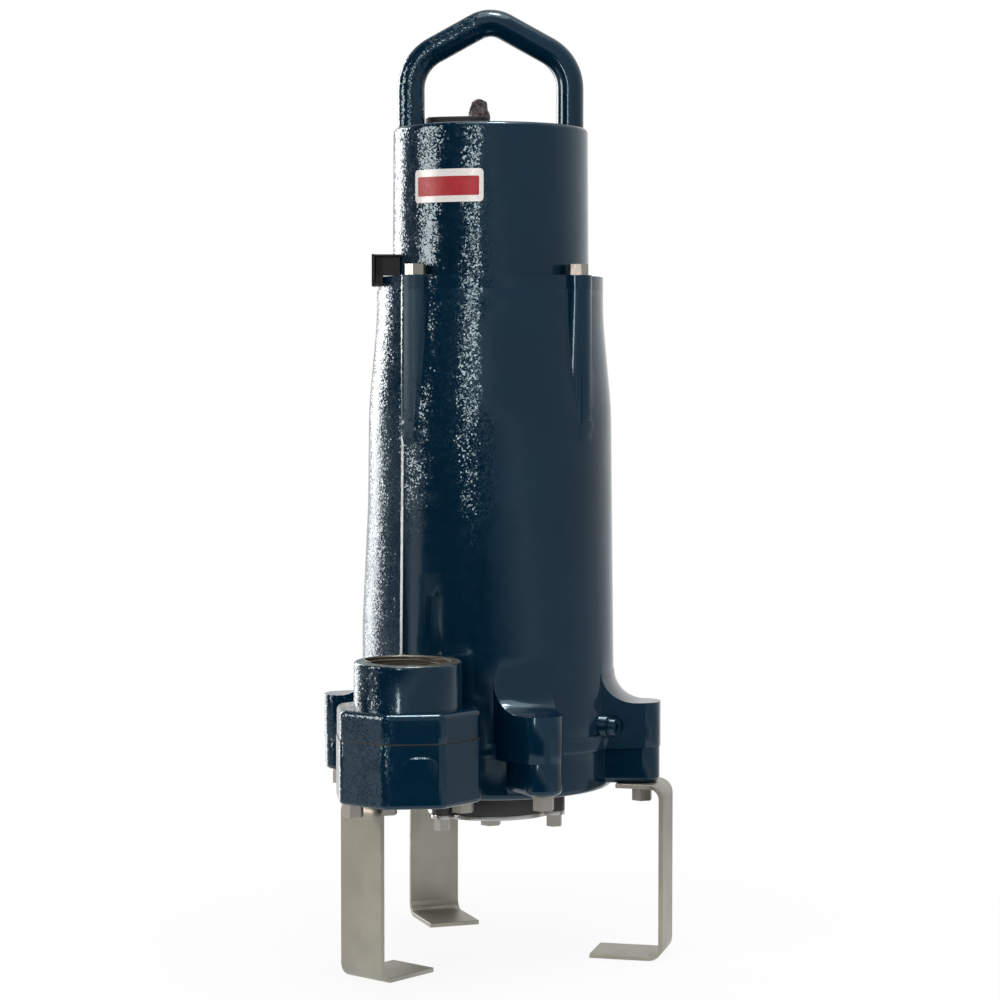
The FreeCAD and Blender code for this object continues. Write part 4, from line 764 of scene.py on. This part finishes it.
def make_band_edge(shade):
    """The front strip of the raised band, which ends at one upright edge with a small round."""
    rows = 44
    columns = 9
    vertices = []
    for row in range(rows + 1):
        height = BAND_EDGE_FOOT + (BAND_EDGE_TOP - BAND_EDGE_FOOT) * row / rows
        share = (height - BAND_EDGE_FOOT) / (HOUSING_TOP - BAND_EDGE_FOOT)
        edge = BAND_EDGE_LOW + (BAND_EDGE_HIGH - BAND_EDGE_LOW) * share
        radius = band_radius(height) + BAND_PROUD
        wall = LOWER_WALL if height < SHOULDER else UPPER_WALL
        last = math.asin(edge / radius)
        first = last + math.radians(BAND_TURN)
        ring = []
        for step in range(columns):
            turn = first + (last - first) * step / (columns - 1)
            ring.append((radius * math.sin(turn), radius * math.cos(turn)))
        left, near = ring[-1]
        ring += [(left - inwards, near + outwards) for inwards, outwards in BAND_ROUND]
        foot_left = ring[-1][0]
        ring.append((foot_left, math.sqrt(wall * wall - foot_left ** 2)))
        ring.append((wall * math.sin(first), wall * math.cos(first)))
        vertices += [-RIGHT * aside + TOWARDS * nearer + UP * height for aside, nearer in ring]
    wide = columns + len(BAND_ROUND) + 2
    faces = [*end_faces(rows + 1, wide), *wall_faces(rows + 1, wide)]
    new_piece("band_edge", vertices, faces, shade, sharp=8)


def make_boss_bulge(shade):
    """The passage's round back, which shows as a low arch on the front of the discharge boss."""
    rows = 18
    columns = 28
    wide = columns + 1
    vertices = []
    for row in range(rows + 1):
        for column in range(wide):
            across = -1 + 2 * column / columns
            top = BULGE_TOP - BULGE_CROWN * across ** 4
            height = BULGE_LOW + (top - BULGE_LOW) * row / rows
            swell = row / rows * (1 - across * across) if row < rows else 0.0
            depth = BULGE_DEPTH * swell - BULGE_SUNK
            place = BULGE_MIDDLE + BULGE_ALONG * (across * BULGE_HALF) + BULGE_OUT * depth
            vertices.append(Vector((place.x, place.y, height)))
    faces = []
    for row in range(rows):
        for column in range(columns):
            start = row * wide + column
            faces.append((start, start + 1, start + wide + 1, start + wide))
    back = len(vertices)
    outline = list(range(wide))
    outline += [row * wide + columns for row in range(1, rows + 1)]
    outline += [rows * wide + column for column in reversed(range(columns))]
    outline += [row * wide for row in reversed(range(1, rows))]
    for index in outline:
        vertices.append(vertices[index] - BULGE_OUT * BULGE_BACK)
    count = len(outline)
    for index in range(count):
        after = (index + 1) % count
        faces.append((outline[index], outline[after], back + after, back + index))
    faces.append(tuple(back + index for index in reversed(range(count))))
    new_piece("boss_bulge", vertices, faces, shade)


def helix_thread():
    """The pipe thread inside the discharge hub: a V ridge that winds up the bore and fades at its ends."""
    per_turn = 72
    fade_steps = 30
    count = int(THREAD_LENGTH / THREAD_PITCH * per_turn)
    crest = HUB_BORE - THREAD_DEPTH
    profile = ((THREAD_ROOT, -0.47), (crest, -0.08), (crest, 0.08), (THREAD_ROOT, 0.47))
    vertices = []
    for index in range(count + 1):
        turn = 2 * math.pi * index / per_turn
        rise = THREAD_TOP - THREAD_LENGTH + THREAD_PITCH * (index / per_turn + 0.5)
        fade = min(1.0, index / fade_steps, (count - index) / fade_steps)
        for reach, offset in profile:
            depth = THREAD_ROOT + (reach - THREAD_ROOT) * max(fade, 0.02)
            vertices.append((HUB_AXIS.x + depth * math.cos(turn), HUB_AXIS.y + depth * math.sin(turn),
                             rise + offset * THREAD_PITCH))
    wide = len(profile)
    faces = wall_faces(count + 1, wide)
    faces.append(tuple(range(wide)))
    faces.append(tuple(count * wide + side for side in reversed(range(wide))))
    new_piece("pipe_thread", vertices, faces,
              satin("thread_iron", colour(0.17, 0.16, 0.13), rough=(0.45, 0.60), scale=1200), smooth=False)


# Angles from the camera's side, positive to the right, and the brightness there
WORLD_LEVELS = ((-180, 1.0), (-150, 0.90), (-128, 0.60), (-112, 0.42), (-94, 0.34), (-82, 0.03),
                (-60, 0.01), (-18, 0.01), (-6, 0.26), (6, 0.54), (23, 0.84), (34, 0.56), (64, 0.53),
                (80, 0.54), (98, 0.56), (125, 0.78), (150, 0.95), (180, 1.0))
# How far the edges turn as a direction rises, and the rises between which they do
WORLD_LEAN = 4.0
LEAN_LOW = -0.16
LEAN_HIGH = 0.12


def make_world():
    """White behind for the camera. Reflections see a dark left front, a grey right front
    whose edge leans with height, and white behind."""
    world = bpy.data.worlds.new("studio")
    bpy.context.scene.world = world
    world.use_nodes = True
    tree = Tree(world.node_tree)
    output = tree.node("ShaderNodeOutputWorld")
    rays = tree.node("ShaderNodeLightPath").outputs
    place = tree.node("ShaderNodeTexCoord").outputs["Generated"]
    right, near, rise = (tree.vector("DOT_PRODUCT", place, axis) for axis in (RIGHT, TOWARDS, UP))
    lean = tree.product(tree.math("MINIMUM", tree.math("MAXIMUM", rise, LEAN_LOW), LEAN_HIGH), WORLD_LEAN)
    turn = tree.sum(tree.math("ARCTAN2", right, near), lean)
    ramp = tree.node("ShaderNodeValToRGB", Fac=tree.sum(tree.product(turn, 0.5 / math.pi), 0.5))
    while len(ramp.color_ramp.elements) < len(WORLD_LEVELS):
        ramp.color_ramp.elements.new(0.5)
    for element, (angle, level) in zip(ramp.color_ramp.elements, WORLD_LEVELS):
        element.position = (angle + 180) / 360
        element.color = colour(level, level, level)
    room = tree.node("ShaderNodeBackground", Color=ramp.outputs[0])
    white = tree.node("ShaderNodeBackground", Color=colour(1, 1, 1))
    shown = tree.math("MAXIMUM", rays["Is Camera Ray"], rays["Is Transmission Ray"])
    tree.link(tree.choose(shown, room, white).outputs[0], output.inputs["Surface"])


def area_light(name, place, width, depth, radiance, glossy=True, diffuse=True, tone=(1.0, 1.0, 1.0)):
    """A flat soft light that faces down, given by its own brightness."""
    data = bpy.data.lights.new(name, "AREA")
    data.shape = "RECTANGLE"
    data.size = width
    data.size_y = depth
    data.energy = radiance * math.pi * width * depth
    data.color = tone
    made = bpy.data.objects.new(name, data)
    bpy.context.scene.collection.objects.link(made)
    made.location = place
    made.visible_camera = False
    made.visible_glossy = glossy
    made.visible_diffuse = diffuse
    return made


def lamp(name, angle, distance, low, high, width, radiance, **seen):
    """An upright light that faces the shaft axis, from a low to a high level."""
    place = around(angle, distance, (low + high) / 2)
    made = area_light(name, place, width, high - low, radiance, **seen)
    inwards = -around(angle, 1, 0)
    made.rotation_euler = inwards.to_track_quat("-Z", "Y").to_euler()


def make_lights():
    warm = {"diffuse": False, "tone": (1.0, 0.87, 0.81)}
    lamp("strip_side", -77.0, 1.6, 0.40, 1.4, width=0.44, radiance=15, **warm)
    lamp("panel_side", -72.5, 1.6, -0.4, 0.40, width=0.36, radiance=0.9, **warm)
    lamp("strip_front", -19, 1.6, 0.40, 1.4, width=0.12, radiance=21, **warm)
    lamp("rim_left", -137, 1.8, 0.34, 1.4, width=0.80, radiance=7, diffuse=False)
    lamp("rim_low", -134, 1.8, -0.6, 0.34, width=0.86, radiance=4.2, diffuse=False)
    lamp("fill_left", -45, 2.2, 0.0, 1.8, width=1.4, radiance=3.2, glossy=False)
    lamp("fill_right", 40, 2.2, 0.0, 1.8, width=1.4, radiance=1.2, glossy=False)
    area_light("top", TOWARDS * 0.3 + UP * 2.0, width=1.2, depth=1.2, radiance=3.2)
    area_light("top_spark", TOWARDS * 0.22 + RIGHT * 0.10 + UP * 1.9, width=0.30, depth=0.22, radiance=60,
               diffuse=False)


FLOOR_RADIUS = 0.5
FLOOR_LEVEL = -0.0002


def make_floor():
    """A round pale floor that keeps the soft shadow near the feet, fades to white at its rim,
    and is clear from below."""
    mesh = bpy.data.meshes.new("floor")
    count = 64
    corners = []
    for step in range(count):
        turn = 2 * math.pi * step / count
        corners.append((FLOOR_RADIUS * math.cos(turn), FLOOR_RADIUS * math.sin(turn), FLOOR_LEVEL))
    mesh.from_pydata(corners, [], [list(range(count))])
    floor = bpy.data.objects.new("floor", mesh)
    bpy.context.scene.collection.objects.link(floor)
    shade = Shader("floor")
    shade.set(Base_Color=colour(0.9, 0.9, 0.9), Roughness=0.9)
    glow = shade.node("ShaderNodeEmission", Color=colour(1, 1, 1), Strength=1.0)
    clear = shade.node("ShaderNodeBsdfTransparent")
    rays = shade.node("ShaderNodeLightPath").outputs
    shown = shade.math("MAXIMUM", rays["Is Camera Ray"], rays["Is Transmission Ray"])
    shown = shade.math("MAXIMUM", shown, rays["Is Glossy Ray"])
    white = shade.between(shade.radius(), 0.16, FLOOR_RADIUS - 0.04, 0.90, 1.0)
    above = shade.choose(shade.product(shown, white), shade.surface, glow)
    behind = shade.node("ShaderNodeNewGeometry").outputs["Backfacing"]
    shade.link(shade.choose(behind, above, clear).outputs[0], shade.output.inputs["Surface"])
    mesh.materials.append(shade.material)


make_camera()
navy_enamel = make_materials()
soften_nodes()
helix_thread()
make_label()
make_cover()
make_gland()
make_clip()
# The raised band's edge, with a pale painted highlight along it
make_band_edge(enamel("band_enamel", band_edge_highlight, PAINTED_EDGE_HIGHLIGHT, 0.35))
make_boss_bulge(navy_enamel)
make_world()
make_lights()
make_floor()
bpy.context.scene.view_settings.view_transform = "Standard"
